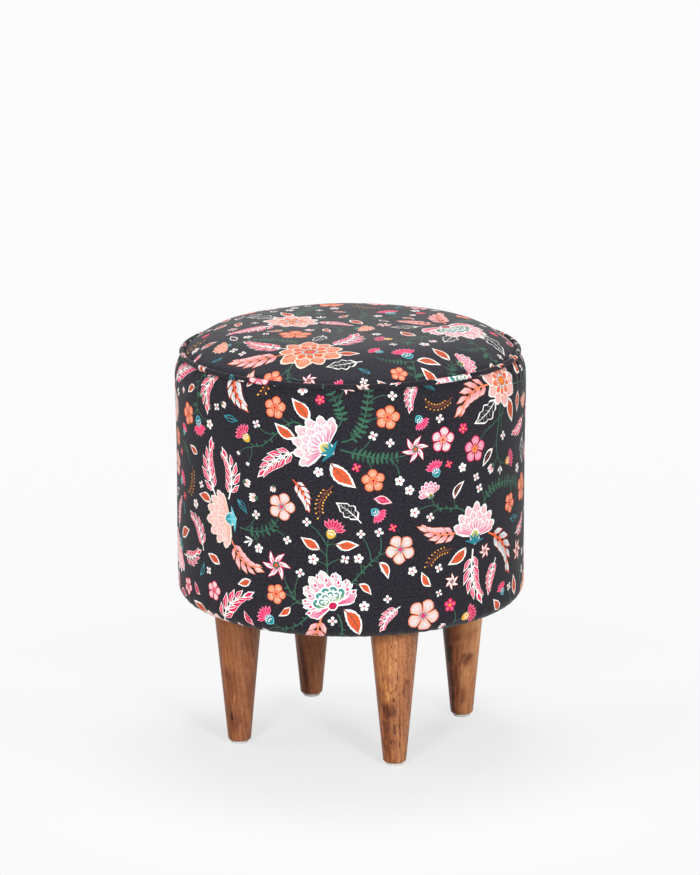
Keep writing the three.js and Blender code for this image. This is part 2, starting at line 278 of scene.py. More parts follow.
def addFloor(look):
    mesh = bpy.data.meshes.new("studioFloor")
    far, steps = 9.0, 24
    ticks = np.linspace(-far, far, steps + 1)
    points = [(x, y, 0) for y in ticks for x in ticks]
    faces = [
        (j * (steps + 1) + i, j * (steps + 1) + i + 1, (j + 1) * (steps + 1) + i + 1, (j + 1) * (steps + 1) + i)
        for j in range(steps) for i in range(steps)
    ]
    mesh.from_pydata(points, [], faces)
    floor = bpy.data.objects.new("studioFloor", mesh)
    bpy.context.scene.collection.objects.link(floor)
    material = bpy.data.materials.new("studioFloor")
    material.use_nodes = True
    tree = material.node_tree
    tree.nodes.clear()
    place = tree.nodes.new("ShaderNodeNewGeometry").outputs["Position"]
    away = addNode(tree, "VectorMath", {0: place}, operation="LENGTH").outputs["Value"]
    fade = remap(tree, away, *look["matt reach"], look["floor matt"], 1.0)
    # painted light: towards the back the floor shows more plain white and less of its real shading, so the shade under
    # and behind the seat is lifted
    turn = math.radians(look["turn"])
    backward = addNode(tree, "VectorMath", {0: place, 1: (-math.sin(turn), math.cos(turn), 0)}, operation="DOT_PRODUCT")
    behind = remap(tree, backward.outputs["Value"], *look["lit behind"], look["floor matt"], look["behind"])
    fade = maths(tree, "MAXIMUM", fade, behind)
    strength = remap(tree, away, 0.5, 2.2, look["floor near"], look["backdrop"])
    white = addNode(tree, "Emission", {"Color": (1, 1, 1, 1), "Strength": strength}).outputs[0]
    matt = addNode(tree, "BsdfDiffuse", {"Color": (look["floor"],) * 3 + (1,)}).outputs[0]
    share = maths(tree, "MULTIPLY", seenDirectly(tree), fade)
    surface = addNode(tree, "MixShader", {0: share, 1: matt, 2: white}).outputs[0]
    output = tree.nodes.new("ShaderNodeOutputMaterial")
    tree.links.new(surface, output.inputs["Surface"])
    mesh.materials.append(material)


def addLight(name, place, aim, size, power):
    data = bpy.data.lights.new(name, "AREA")
    data.shape = "DISK"
    data.size = size
    data.energy = power
    lamp = bpy.data.objects.new(name, data)
    bpy.context.scene.collection.objects.link(lamp)
    lamp.location = place
    lamp.rotation_euler = (Vector(aim) - Vector(place)).to_track_quat("-Z", "Y").to_euler()


def addWorld(look):
    world = bpy.data.worlds.new("studio")
    bpy.context.scene.world = world
    world.use_nodes = True
    tree = world.node_tree
    tree.nodes.clear()
    light = addNode(tree, "Background", {"Color": (1, 1, 1, 1), "Strength": look["world"]}).outputs[0]
    white = addNode(tree, "Background", {"Color": (1, 1, 1, 1), "Strength": look["backdrop"]}).outputs[0]
    surface = addNode(tree, "MixShader", {0: seenDirectly(tree), 1: light, 2: white}).outputs[0]
    tree.links.new(surface, tree.nodes.new("ShaderNodeOutputWorld").inputs["Surface"])


def setStudio(look):
    addCamera(look)
    addFloor(look)
    addWorld(look)
    aim = Vector((0, 0, 0.25))
    for name, (bearing, rise, distance, size, power) in lamps.items():
        place = Vector((0, -distance, 0))
        place.rotate(Euler((-math.radians(rise), 0, math.radians(look["turn"] + bearing))))
        addLight(name, aim + place, aim, size, power)
    bpy.context.scene.view_settings.view_transform = "Standard"


setStudio(studio)
print("studio set")


# Shapes on the flat cloth. A shape is its outline and its paint, as complex numbers in millimetres;
# a paint fades from one ink at a centre to another at a radius, and later shapes lie over earlier ones.

inkColours = {
    "ground": "#1b181f",
    "white": "#fbf7f2",
    "cream": "#fbe3d3",
    "blush": "#fac5c7",
    "coral": "#f58a66",
    "tangerine": "#f2602e",
    "rust": "#d9552b",
    "mustard": "#f5a52c",
    "maize": "#fbc75a",
    "pink": "#f3235f",
    "rose": "#f77f9e",
    "crimson": "#bd1846",
    "teal": "#1b7b88",
    "aqua": "#6cc3cf",
    "ice": "#d8eff2",
    "green": "#33614a",
    "moss": "#27493b",
    "grey": "#a7a9ab",
    "brown": "#8a4a2e",
}
warmInks = ("white", "tangerine", "blush", "mustard", "rust", "teal")
pinkInks = ("white", "pink", "blush", "maize", "crimson", "teal")
peachInks = ("cream", "coral", "blush", "teal", "pink", "aqua")
amberInks = ("cream", "tangerine", "coral", "mustard", "crimson", "teal")
berryInks = ("white", "crimson", "rose", "mustard", "rust", "green")
plumeInks = ("white", "pink", "rose", "teal", "crimson", "aqua")
tealInks = ("ice", "teal", "aqua", "crimson", "pink", "mustard")
snowInks = ("white", "white", "grey", "pink", "pink", "pink")
candyInks = ("pink", "pink", "white", "maize", "mustard", "teal")
greenInks = ("green", "green", "green")


def flat(ink):
    return (ink, ink, 0j, 1.0)


def fade(inner, outer, centre, radius):
    return (inner, outer, centre, radius)


def placed(shapes, at=0j, turn=0.0, scale=1.0):
    spin = cmath.rect(scale, turn)
    moved = []
    for outline, (inner, outer, centre, radius) in shapes:
        moved.append(([at + p * spin for p in outline], (inner, outer, at + centre * spin, radius * scale)))
    return moved


def petal(length, width, blunt=0.7, belly=1.3, frills=0, depth=0.0, n=9):
    points = []
    steps = n + 3 * frills
    for k in range(-steps, steps):
        share = k / steps
        along = 1 - abs(share)
        half = width / 2 * math.sin(math.pi * along**belly) ** blunt
        reach = 1 + depth * (abs(math.cos(math.pi * frills * share * 1.1)) - 0.5) * along**2
        points.append(complex(length * along, math.copysign(half, share)) * reach)
    return points


def leaf(length, width, bend=0.0, teeth=0, depth=0.3, belly=0.85, n=9):
    points = []
    steps = max(n, 3 * teeth)
    for side in (1, -1):
        for k in range(steps):
            along = k / steps if side > 0 else 1 - k / steps
            half = width / 2 * math.sin(math.pi * along**belly)
            if teeth:
                half *= 1 - depth * ((teeth * along) % 1)
            points.append(complex(length * along, -side * half) * cmath.exp(1j * bend * along))
    return points


def disc(radius, at=0j, n=12, lobes=0, depth=0.0):
    points = []
    for k in range(n):
        angle = fullTurn * k / n
        points.append(at + cmath.rect(radius * (1 + depth * math.cos(lobes * angle)), angle))
    return points


def curve(start, end, bend, n=8):
    middle = (start + end) / 2 + 1j * (end - start) * bend
    steps = [k / n for k in range(n + 1)]
    return [(1 - t) ** 2 * start + 2 * t * (1 - t) * middle + t * t * end for t in steps]


def stroke(path, thick, thin=None):
    thin = thick if thin is None else thin
    left, right = [], []
    for k, spot in enumerate(path):
        ahead = path[min(k + 1, len(path) - 1)] - path[max(k - 1, 0)]
        side = 1j * ahead / (abs(ahead) or 1) * (thick + (thin - thick) * k / (len(path) - 1)) / 2
        left.append(spot + side)
        right.append(spot - side)
    return right + left[::-1]


def spun(shapes, count, start=0.0, scales=(1.0,)):
    made = []
    for k in range(count):
        made += placed(shapes, turn=start + fullTurn * k / count, scale=scales[k % len(scales)])
    return made


def rimmed(outline, middle, inset, rim, paint):
    return [(outline, flat(rim)), ([middle + (p - middle) * inset for p in outline], paint)]


# Flowers, each round its middle, with its stem coming from the left


def dahlia(radius, inks, rng):
    rim, deep, pale, heart, seed, bead = inks
    outer = petal(radius, radius * 0.6, 0.62, 1.5, 3, 0.1)
    ray = rimmed(outer, radius * 0.6, 0.84, rim, fade(deep, pale, 0j, radius * 0.95))
    for side in (-0.12, 0, 0.12):
        path = curve(complex(radius * 0.36), cmath.rect(radius * 0.82, side), side, 4)
        ray.append((stroke(path, radius * 0.022, radius * 0.012), flat(rim)))
    shapes = spun(ray, 9, 0.2, (1.0, 0.93, 1.04))
    inner = petal(radius * 0.6, radius * 0.36, 0.6, 1.5, 2, 0.1)
    ray = rimmed(inner, radius * 0.36, 0.8, rim, fade(pale, deep, 0j, radius * 0.55))
    path = [complex(radius * 0.25), complex(radius * 0.47)]
    ray.append((stroke(path, radius * 0.03, radius * 0.015), flat(deep)))
    shapes += spun(ray, 9, 0.55, (1.0, 0.92))
    shapes.append((disc(radius * 0.27, n=18), flat(rim)))
    shapes += spun([(disc(radius * 0.04, radius * 0.235 + 0j, 7), flat(bead))], 13)
    shapes.append((disc(radius * 0.19, n=16), fade(heart, seed, 0j, radius * 0.24)))
    for k in range(11):
        spot = cmath.rect(radius * 0.15 * math.sqrt(k / 11), 2.4 * k)
        shapes.append((disc(radius * 0.022, spot, 5), flat(seed)))
    return shapes


def carnation(radius, inks, rng):
    rim, deep, pale, heart, seed, bead = inks
    shapes = []
    for length, spread, count in ((1.0, 1.15, 7), (0.78, 0.95, 6), (0.56, 0.7, 5)):
        outer = petal(radius * length * 1.25, radius * length * 0.52, 0.55, 1.9, 4, 0.13)
        ray = rimmed(outer, radius * length * 0.8, 0.85, rim, fade(deep, pale, 0j, radius * length * 1.2))
        path = [complex(radius * length * 0.55), complex(radius * length * 1.02)]
        ray.append((stroke(path, radius * 0.02, radius * 0.035), flat(rim)))
        for k in sorted(range(count), key=lambda k: -abs(k - (count - 1) / 2)):
            turn = spread * (2 * k / (count - 1) - 1)
            shapes += placed(ray, turn=turn, scale=1 - 0.12 * abs(turn))
    cup = petal(radius * 0.62, radius * 0.5, 0.6, 1.0)
    shapes += placed(rimmed(cup, radius * 0.3, 0.8, rim, fade(bead, heart, 0j, radius * 0.6)), -radius * 0.3)
    for turn in (-0.9, -0.45, 0, 0.45, 0.9):
        shapes += placed([(leaf(radius * 0.5, radius * 0.13, turn * 0.4), flat(bead))], -radius * 0.28, turn)
    return placed(shapes, -radius * 0.35)


def palmette(radius, inks, rng):
    rim, deep, pale, heart, seed, bead = inks
    shapes = []
    for turn in (-1.45, 1.45, -1.0, 1.0, -0.55, 0.55, -0.15, 0.2):
        plume = petal(radius * (1.5 - 0.32 * abs(turn)), radius * 0.62, 0.6, 1.7, 3, 0.12)
        ray = rimmed(plume, radius * 0.85, 0.86, rim, fade(deep, pale, 0j, radius * 1.35))
        path = [complex(radius * 0.5), complex(radius * (1.2 - 0.3 * abs(turn)))]
        ray.append((stroke(path, radius * 0.05, radius * 0.02), flat(rim)))
        shapes += placed(ray, -radius * 0.45, turn)
    for reach, count, spread in ((1.16, 13, 1.4), (1.0, 11, 1.15)):
        fringe = leaf(radius * 0.3, radius * 0.17, belly=0.75, n=5)
        for k in sorted(range(count), key=lambda k: -abs(k - (count - 1) / 2)):
            turn = spread * (2 * k / (count - 1) - 1)
            root = cmath.rect(radius * (reach - 0.2 * abs(turn)), turn) - radius * 0.45
            shapes += placed(rimmed(fringe, radius * 0.14, 0.62, rim, flat(pale if k % 2 else deep)), root, turn)
    for size, count, spread in ((0.86, 5, 0.95), (0.64, 4, 0.75), (0.43, 3, 0.5)):
        tile = petal(radius * size, radius * size * 0.56, 0.5, 1.8, 2, 0.08)
        ray = rimmed(tile, radius * size * 0.6, 0.8, rim, fade(heart, bead, 0j, radius * size))
        ray.append((disc(radius * 0.055, radius * size * 0.74 + 0j, 7), flat(rim)))
        for k in range(count):
            shapes += placed(ray, -radius * 0.45, spread * (2 * k / (count - 1) - 1))
    cup = petal(radius * 0.4, radius * 0.46, 0.6, 1.0)
    shapes += placed(rimmed(cup, radius * 0.2, 0.76, rim, flat(seed)), -radius * 0.62)
    return shapes


def rosette(radius, inks, rng):
    rim, deep, pale, heart, seed, bead = inks
    outer = petal(radius, radius * 0.86, 0.5, 1.7, 3, 0.09)
    ray = rimmed(outer, radius * 0.62, 0.82, deep, fade(rim, pale, 0j, radius * 0.9))
    ray.append((petal(radius * 0.52, radius * 0.3, 0.7, 1.3), fade(deep, pale, 0j, radius * 0.55)))
    ray.append((stroke([complex(radius * 0.2), complex(radius * 0.5)], 0.06 * radius, 0.03 * radius), flat(bead)))
    for side in (-0.3, 0.3):
        line = [cmath.rect(radius * 0.45, side * 0.8), cmath.rect(radius * 0.74, side)]
        ray.append((stroke(line, 0.05 * radius, 0.02 * radius), flat(deep)))
    shapes = spun(ray, 5, rng.uniform(0, 1))
    shapes += spun([(leaf(radius * 0.34, radius * 0.1), flat(heart))], 10, 0.3)
    shapes.append((disc(radius * 0.13, n=9), flat(seed)))
    return shapes


def starflower(radius, inks, rng):
    rim, deep, pale, heart, seed, bead = inks
    curl = rng.choice((-0.5, 0.5))
    ray = [(leaf(radius, radius * 0.42, curl, belly=0.75), flat(deep))]
    ray.append((leaf(radius * 0.93, radius * 0.33, curl, belly=0.75), flat(rim)))
    ray.append((leaf(radius * 0.72, radius * 0.24, curl, belly=0.75), fade(pale, rim, 0j, radius * 0.8)))
    line = [complex(radius * 0.25), radius * 0.6 * cmath.exp(0.6j * curl)]
    ray.append((stroke(line, radius * 0.05, radius * 0.02), flat(deep)))
    shapes = spun(ray, 6, rng.uniform(0, 1))
    shapes.append((disc(radius * 0.24, n=10, lobes=5, depth=0.15), flat(bead)))
    shapes.append((disc(radius * 0.12, n=8), flat(seed)))
    return shapes


def blossom(radius, inks, rng):
    rim, deep, pale, heart, seed, bead = inks
    ray = [(petal(radius, radius * 0.72, 0.55, 1.6), flat(rim))]
    ray.append((stroke([complex(radius * 0.45), complex(radius * 0.75)], 0.07 * radius, 0.05 * radius), flat(pale)))
    shapes = spun(ray, 5 if radius > 5 else 4, rng.uniform(0, 1))
    shapes.append((disc(radius * 0.22, n=8), flat(seed)))
    return shapes


def thistle(radius, inks, rng):
    rim, deep, pale, heart, seed, bead = inks
    shapes = []
    for turn in (-1.0, 1.0, -0.66, 0.66, -0.33, 0.33, 0):
        tuft = leaf(radius, radius * 0.34, 0, 3, 0.4, 1.4)
        shapes += placed(rimmed(tuft, radius * 0.6, 0.7, pale, flat(deep)), -radius * 0.1, turn)
    cup = petal(radius * 0.85, radius * 0.8, 0.62, 1.1)
    shapes += placed(rimmed(cup, radius * 0.42, 0.84, bead, flat(heart)), -radius * 0.7)
    for row, count, spread in ((0.5, 4, 0.55), (0.28, 3, 0.5)):
        for k in range(count):
            spot = -radius * 0.62 + cmath.rect(radius * row, spread * (2 * k / (count - 1) - 1))
            shapes += placed([(petal(radius * 0.16, radius * 0.12, n=5), flat(rim))], spot)
    return shapes


def bud(radius, inks, rng):
    rim, deep, pale, heart, seed, bead = inks
    shapes = []
    for turn in (-0.3, 0.3, 0):
        tip = petal(radius * 1.2, radius * 0.6, 0.7, 1.2, 2, 0.1)
        shapes += placed(rimmed(tip, radius * 0.6, 0.72, rim, fade(deep, pale, 0j, radius)), turn=turn)
    shapes.append((petal(radius * 0.55, radius * 0.6, 0.7, 0.9), flat("green")))
    return placed(shapes, -radius * 0.5)


# Leaves and sprays, each growing from the left, where its stem starts


def plainLeaf(length, inks, rng):
    rim, fill, vein = inks
    bend = rng.uniform(-0.5, 0.5)
    outline = leaf(length, length * 0.46, bend, 7, 0.14)
    shapes = rimmed(outline, length * 0.5 * cmath.exp(0.5j * bend), 0.78, rim, flat(fill))
    spine = [length * t * cmath.exp(1j * bend * t) for t in (0.0, 0.25, 0.5, 0.75, 0.95)]
    shapes.append((stroke(spine, length * 0.045, length * 0.01), flat(vein)))
    for share in (0.3, 0.45, 0.6):
        root = length * share * cmath.exp(1j * bend * share)
        for side in (-1, 1):
            tip = root + cmath.rect(length * 0.17, bend * share + side * 0.75)
            shapes.append((stroke([root, tip], length * 0.02, length * 0.008), flat(vein)))
    return shapes


def frond(length, inks, rng):
    rim, fill, vein = inks
    bend = rng.choice((-1, 1)) * rng.uniform(0.2, 0.55)
    spine = [length * t * cmath.exp(1j * bend * t * t) for t in (k / 6 for k in range(7))]
    shapes = [(stroke(spine, length * 0.035, length * 0.02), flat(rim))]
    for k in range(1, 6):
        size = length * (0.3, 0.36, 0.34, 0.29, 0.22)[k - 1]
        ahead = cmath.phase(spine[k + 1] - spine[k - 1])
        for side in (-1, 1):
            lobe = leaf(size, size * 0.44, side * -0.3, 2, 0.3, 0.8, 9)
            pair = rimmed(lobe, size * 0.5, 0.8, rim, fade(vein, fill, 0j, size * 0.6))
            line = [complex(size * 0.12), size * 0.66 * cmath.exp(-0.2j * side)]
            pair.append((stroke(line, size * 0.05, size * 0.025), flat(rim)))
            shapes += placed(pair, spine[k] - 0.02 * length * side, ahead + side * (1.05 - 0.1 * k))
    tip = leaf(length * 0.3, length * 0.12, 0, 2, 0.3, 0.9)
    shapes += placed(rimmed(tip, 0.14 * length, 0.7, rim, flat(fill)), spine[-2], bend * 1.5)
    return shapes


def sprig(length, inks, rng):
    fill = inks[1]
    bend = rng.choice((-1, 1)) * rng.uniform(0.2, 0.6)
    spine = [length * t * cmath.exp(1j * bend * t * t) for t in (k / 9 for k in range(10))]
    shapes = [(stroke(spine, 1.1, 0.5), flat(fill))]
    for k in range(2, 10):
        ahead = cmath.phase(spine[k] - spine[k - 1])
        size = length * 0.17 * (1.15 - k / 16)
        for side in (-1, 1):
            blade = leaf(size, size * 0.38, side * 0.4, n=6)
            shapes += placed([(blade, flat(fill))], spine[k - (side > 0)], ahead + side * 0.85)
    return shapes


def lobedLeaf(length, inks, rng):
    rim, fill, vein = inks
    bend = rng.uniform(-0.4, 0.4)
    outline = []
    for side in (1, -1):
        for k in range(25):
            along = k / 25 if side > 0 else 1 - k / 25
            half = length * 0.25 * math.sin(math.pi * along**0.8) * (0.72 + 0.4 * abs(math.sin(3.5 * math.pi * along)))
            outline.append(complex(length * along, -side * half) * cmath.exp(1j * bend * along))
    shapes = rimmed(outline, length * 0.5 * cmath.exp(0.5j * bend), 0.86, rim, flat(fill))
    spine = [length * t * cmath.exp(1j * bend * t) for t in (-0.15, 0.15, 0.45, 0.75, 0.92)]
    shapes.append((stroke(spine, length * 0.04, length * 0.012), flat(rim)))
    for share in (0.2, 0.34, 0.48, 0.62, 0.76):
        root = length * share * cmath.exp(1j * bend * share)
        for side in (-1, 1):
            tip = root + cmath.rect(length * (0.24 - 0.16 * share), bend * share + side * 0.8)
            shapes.append((stroke(curve(root, tip, side * -0.15, 3), length * 0.018, length * 0.01), flat(vein)))
    return shapes


def berrySpray(length, inks, rng):
    rim, fill, vein = inks
    bend = rng.choice((-1, 1)) * rng.uniform(0.3, 0.8)
    spine = [length * t * cmath.exp(1j * bend * t * t) for t in (k / 9 for k in range(10))]
    shapes = [(stroke(spine, 0.7, 0.4), flat(vein))]
    for k in range(2, 10):
        ahead = cmath.phase(spine[k] - spine[k - 1])
        for side in (-1, 1):
            foot = spine[k - (side > 0)]
            spot = foot + cmath.rect(length * 0.085, ahead + side * 1.0)
            shapes.append((stroke([foot, spot], 0.45), flat(vein)))
            drop = petal(length * 0.075, length * 0.05, 0.6, 1.2, n=5)
            shapes += placed([(drop, flat(fill if k % 3 else rim))], spot, ahead + side * 0.8)
    return shapes


def dropTrio(length, inks, rng):
    shapes = []
    for turn, size in ((-0.55, 0.8), (0.05, 1.0), (0.6, 0.75)):
        shapes += placed([(petal(length * size, length * 0.2, 0.8, 1.5, n=7), flat(inks[0]))], turn=turn)
    return shapes


def outlineLeaf(length, inks, rng):
    rim, fill, vein = inks
    bend = rng.uniform(-0.6, 0.6)
    outline = leaf(length, length * 0.4, bend)
    shapes = rimmed(outline, length * 0.52 * cmath.exp(0.5j * bend), 0.74, rim, flat(fill))
    spine = [length * t * cmath.exp(1j * bend * t) for t in (0.0, 0.3, 0.6, 0.85)]
    shapes.append((stroke(spine, 0.5, 0.4), flat(vein)))
    return shapes


def trefoil(length, inks, rng):
    # A leaf of three narrow toothed blades
    shapes = []
    for turn, size in ((-0.62, 0.72), (0.62, 0.72), (0.0, 1.0)):
        blade = leaf(length * size, length * size * 0.3, turn * 0.3, 3, 0.28, 0.9)
        shapes += placed([(blade, flat(inks[1]))], turn=turn)
        shapes.append((stroke([0j, cmath.rect(length * size * 0.7, turn)], 0.5, 0.3), flat(inks[2])))
    return shapes


def budPair(length, inks, rng):
    # A stem that forks to two buds
    shapes = []
    for side in (-1, 1):
        spine = curve(0j, cmath.rect(length, side * 0.42), side * 0.18, 6)
        shapes.append((stroke(spine, 0.9, 0.6), flat("green")))
        shapes += placed(bud(length * 0.24, inks, rng), spine[-1], cmath.phase(spine[-1] - spine[-2]))
    return shapes


def stemPath(start, leave, end, arrive):
    reach = abs(end - start) * 0.4
    first, second = start + cmath.rect(reach, leave), end - cmath.rect(reach, arrive)
    count = max(6, int(abs(end - start) / 5))
    steps = [k / count for k in range(count + 1)]
    return [(1 - t) ** 3 * start + 3 * t * (1 - t) ** 2 * first + 3 * t * t * (1 - t) * second + t**3 * end for t in steps]


def vineLeaves(path, habit, rng):
    # Small green leaves along a vine
    shapes = []
    for k in range(2, len(path) - 2):
        ahead = cmath.phase(path[k + 1] - path[k - 1])
        if habit == "pairs":
            blades = ((rng.uniform(6, 8), -1), (rng.uniform(6, 8), 1))
        elif habit == "alternate" and k % 2:
            blades = ((rng.uniform(8, 12), 1 if k % 4 == 1 else -1),)
        elif habit == "tiny":
            blades = ((rng.uniform(3.5, 5), 1 if k % 2 else -1),)
        else:
            blades = ()
        for size, side in blades:
            blade = leaf(size, size * 0.44, side * 0.4, belly=0.9, n=5)
            shapes += placed([(blade, flat(rng.choice(("green", "green", "moss"))))], path[k], ahead + side * 0.8)
    return shapes


# Layout: large flowers far apart, smaller ones between them on vines, then shoots off the vines,
# and sprays in what room is left

flowerPlan = [  # count on a square metre, radii, least gap, and the flowers in turn
    (50, (25, 33), 40, (
        (dahlia, warmInks), (carnation, pinkInks), (palmette, peachInks), (dahlia, amberInks), (carnation, peachInks),
        (palmette, pinkInks),
    )),
    (132, (11.5, 17.5), 9, (
        (rosette, amberInks), (thistle, plumeInks), (starflower, warmInks), (rosette, peachInks), (carnation, berryInks),
        (starflower, berryInks), (carnation, tealInks), (carnation, amberInks), (thistle, berryInks), (rosette, berryInks),
    )),
]
behindFlowers = (
    (frond, (48, 68), ("white", "pink", "rose")),
    (frond, (44, 60), ("tangerine", "ice", "aqua")),
    (plainLeaf, (26, 36), ("white", "rust", "brown")),
    (lobedLeaf, (30, 42), ("white", "ground", "grey")),
    (frond, (40, 56), ("coral", "blush", "rose")),
    (frond, (44, 62), ("white", "pink", "crimson")),
    (frond, (36, 50), ("white", "pink", "crimson")),
    (plainLeaf, (22, 30), ("white", "rust", "brown")),
)
vineHabits = ("pairs", "alternate", "tiny", "tiny", "bare", "bare")
shootPlan = [  # count on a square metre, shoot lengths, and what grows at the shoot's end
    (110, (5, 12), plainLeaf, (17, 27), ("white", "rust", "brown")),
    (45, (5, 12), outlineLeaf, (15, 23), ("white", "ground", "rust")),
    (26, (10, 20), trefoil, (14, 20), ("green", "green", "moss")),
    (60, (14, 26), rosette, (8.5, 12), amberInks),
    (50, (12, 24), starflower, (9, 12.5), berryInks),
    (45, (10, 20), bud, (7, 10), pinkInks),
    (30, (2, 5), budPair, (16, 24), plumeInks),
    (30, (2, 5), sprig, (24, 38), greenInks),
    (200, (14, 32), blossom, (4.2, 5.8), snowInks),
    (60, (10, 22), blossom, (6, 8), candyInks),
    (70, (2, 6), dropTrio, (9, 14), ("white",) * 3),
]
fillPlan = [  # count on a square metre, sizes and inks, the largest first
    (45, berrySpray, (30, 44), ("maize", "mustard", "brown")),
    (46, frond, (28, 44), ("white", "pink", "rose")),
    (30, frond, (30, 44), ("tangerine", "ice", "aqua")),
    (30, rosette, (9, 13), pinkInks),
    (20, lobedLeaf, (24, 34), ("white", "ground", "grey")),
    (16, sprig, (24, 34), greenInks),
    (30, plainLeaf, (14, 22), ("blush", "crimson", "rose")),
    (35, plainLeaf, (15, 22), ("white", "rust", "brown")),
    (42, thistle, (9, 12), plumeInks),
    (50, outlineLeaf, (13, 20), ("teal", "ground", "aqua")),
    (40, starflower, (7, 10), warmInks),
    (30, bud, (6, 9), warmInks),
    (110, blossom, (4, 5.5), snowInks),
    (60, blossom, (4, 6), candyInks),
]


def spotsOf(shapes):
    # Sample points on the edges and inside of a motif
    spots = []
    for outline, _ in shapes:
        points = np.array(outline)
        middle = points.mean()
        for edge in (points, (points + np.roll(points, -1)) / 2):
            spots += [middle + (edge - middle) * share for share in (1.0, 0.66, 0.33)]
    return np.concatenate(spots)


def cellsOf(room, spots):
    spots = (spots - room["corner"]) / room["cell"]
    high = np.array(room["taken"].shape) - 2
    return np.clip(spots.real.astype(int), 1, high[0]), np.clip(spots.imag.astype(int), 1, high[1])


def overlapOf(room, spots, root=None, clear=5.0):
    if root is not None:
        spots = spots[abs(spots - root) > clear]
    return int(room["taken"][cellsOf(room, spots)].sum())


def takeRoom(room, spots, reach=1):
    x, y = cellsOf(room, spots)
    for dx in range(-reach, reach + 1):
        for dy in range(-reach, reach + 1):
            room["taken"][x + dx, y + dy] = True


def floralPrint(width, height, seed, margin=45):
    rng = random.Random(seed)
    corner, cell = complex(-margin, -margin), 2.0
    across, along = width + 2 * margin, height + 2 * margin
    room = {"corner": corner, "cell": cell, "taken": np.zeros((int(across / cell) + 3, int(along / cell) + 3), bool)}
    area = across * along * 1e-6

    def anywhere():
        return corner + complex(rng.uniform(0, across), rng.uniform(0, along))

    def spread(perMetre, radii, gap, makers, apart, others):
        # Flowers one by one: as far from each other as can be, or each close by the last ones
        chosen = []
        for k in range(round(area * perMetre)):
            best = None
            for _ in range(26):
                at, radius = anywhere(), rng.uniform(*radii)
                near = min((abs(at - spot) - size - radius for spot, size, _ in others + chosen), default=1e3)
                if near > gap and (best is None or (near > best[0] if apart else near < best[0])):
                    best = (near, at, radius)
            if best:
                chosen.append((best[1], best[2], makers[k % len(makers)]))
        return chosen

    bigs = spread(*flowerPlan[0], True, [])
    mediums = spread(*flowerPlan[1], True, bigs)
    flowerShapes, facing = [], []
    for at, radius, (make, inks) in bigs + mediums:
        turn = rng.uniform(-math.pi, math.pi)
        if len(flowerShapes) >= len(bigs):
            hub = min(bigs, key=lambda big: abs(big[0] - at), default=(at - 1,))[0]
            turn = cmath.phase(at - hub) + rng.uniform(-1.1, 1.1)
            facing.append(turn)
        flowerShapes.append(placed(make(radius, inks, rng), at, turn))
        takeRoom(room, spotsOf(flowerShapes[-1]))

    behind = []
    for at, radius, _ in bigs:
        start, found = rng.uniform(-math.pi, math.pi), 0
        for k in range(11):
            make, lengths, inks = rng.choice(behindFlowers)
            way = start + k * fullTurn / 11 + rng.uniform(-0.2, 0.2)
            made = placed(make(rng.uniform(*lengths), inks, rng), at + cmath.rect(radius * 0.8, way), way)
            spots = spotsOf(made)
            if found < 4 and overlapOf(room, spots, at, radius * 1.15) < 12:
                behind.append(made)
                takeRoom(room, spots)
                found += 1

    # each smaller flower's vine comes from the large flower, and by the way, that crosses the least
    vines, stems = [], []
    for (at, radius, _), turn in zip(mediums, facing):
        foot, ways = at - cmath.rect(radius * 0.75, turn), []
        for hub, size, _ in sorted(bigs, key=lambda big: abs(big[0] - at))[:2]:
            for _ in range(6):
                leave = cmath.phase(foot - hub) + rng.uniform(-0.9, 0.9)
                path = stemPath(hub + cmath.rect(size * 0.8, leave), leave, foot, turn + rng.uniform(-0.4, 0.4))
                crossed = overlapOf(room, np.array(path), foot, radius + 3)
                ways.append((crossed + 0.05 * abs(foot - hub), len(ways), path))
        if ways and abs(ways[0][2][0] - foot) < 190:
            path = min(ways)[2]
            shapes = [(stroke(path, 1.4, 0.8), flat("green"))] + vineLeaves(path, rng.choice(vineHabits), rng)
            vines.append(shapes)
            takeRoom(room, spotsOf(shapes), 0)
            stems += [(path[k], cmath.phase(path[k + 1] - path[k - 1])) for k in range(1, len(path) - 1)]

    shoots = []
    for perMetre, lengths, make, sizes, inks in shootPlan if stems else ():
        for _ in range(round(area * perMetre)):
            made = make(rng.uniform(*sizes), inks, rng)
            spots = spotsOf(made)
            for attempt in range(40):
                root, ahead = rng.choice(stems)
                side, length = rng.choice((-1, 1)), rng.uniform(*lengths)
                tip = root + cmath.rect(length, ahead + side * rng.uniform(0.6, 1.3))
                spine = np.array(curve(root, tip, side * rng.uniform(-0.35, -0.1), 6))
                arrive = cmath.phase(spine[-1] - spine[-2])
                there = np.concatenate([spine[:-1], tip + spots * cmath.rect(1, arrive)])
                if not overlapOf(room, there, root):
                    shoots.append([(stroke(spine.tolist(), 1.0, 0.7), flat("green"))] + placed(made, tip, arrive))
                    takeRoom(room, there)
                    stems += [(spine[3], arrive)] if length > 18 else []
                    break

    fills = []
    for perMetre, make, sizes, inks in fillPlan:
        for _ in range(round(area * perMetre)):
            made = make(rng.uniform(*sizes), inks, rng)
            spots = spotsOf(made)
            for attempt in range(40):
                at, turn = anywhere(), rng.uniform(-math.pi, math.pi)
                there = at + spots * cmath.rect(1, turn)
                if not overlapOf(room, there):
                    fills.append(placed(made, at, turn))
                    takeRoom(room, there)
                    break
    return [shape for made in vines + shoots + behind + fills + flowerShapes for shape in made]


# Cutting: the outlines become edges of one flat mesh, and each face takes the ink of the shape on top


def isInside(outline, spots):
    ahead = np.roll(outline, -1)
    x, y = spots.real[:, None], spots.imag[:, None]
    side = (ahead.real - outline.real) * (y - outline.imag) - (x - outline.real) * (ahead.imag - outline.imag)
    up = (outline.imag <= y) & (ahead.imag > y) & (side > 0)
    down = (outline.imag > y) & (ahead.imag <= y) & (side < 0)
    return up.sum(1) != down.sum(1)


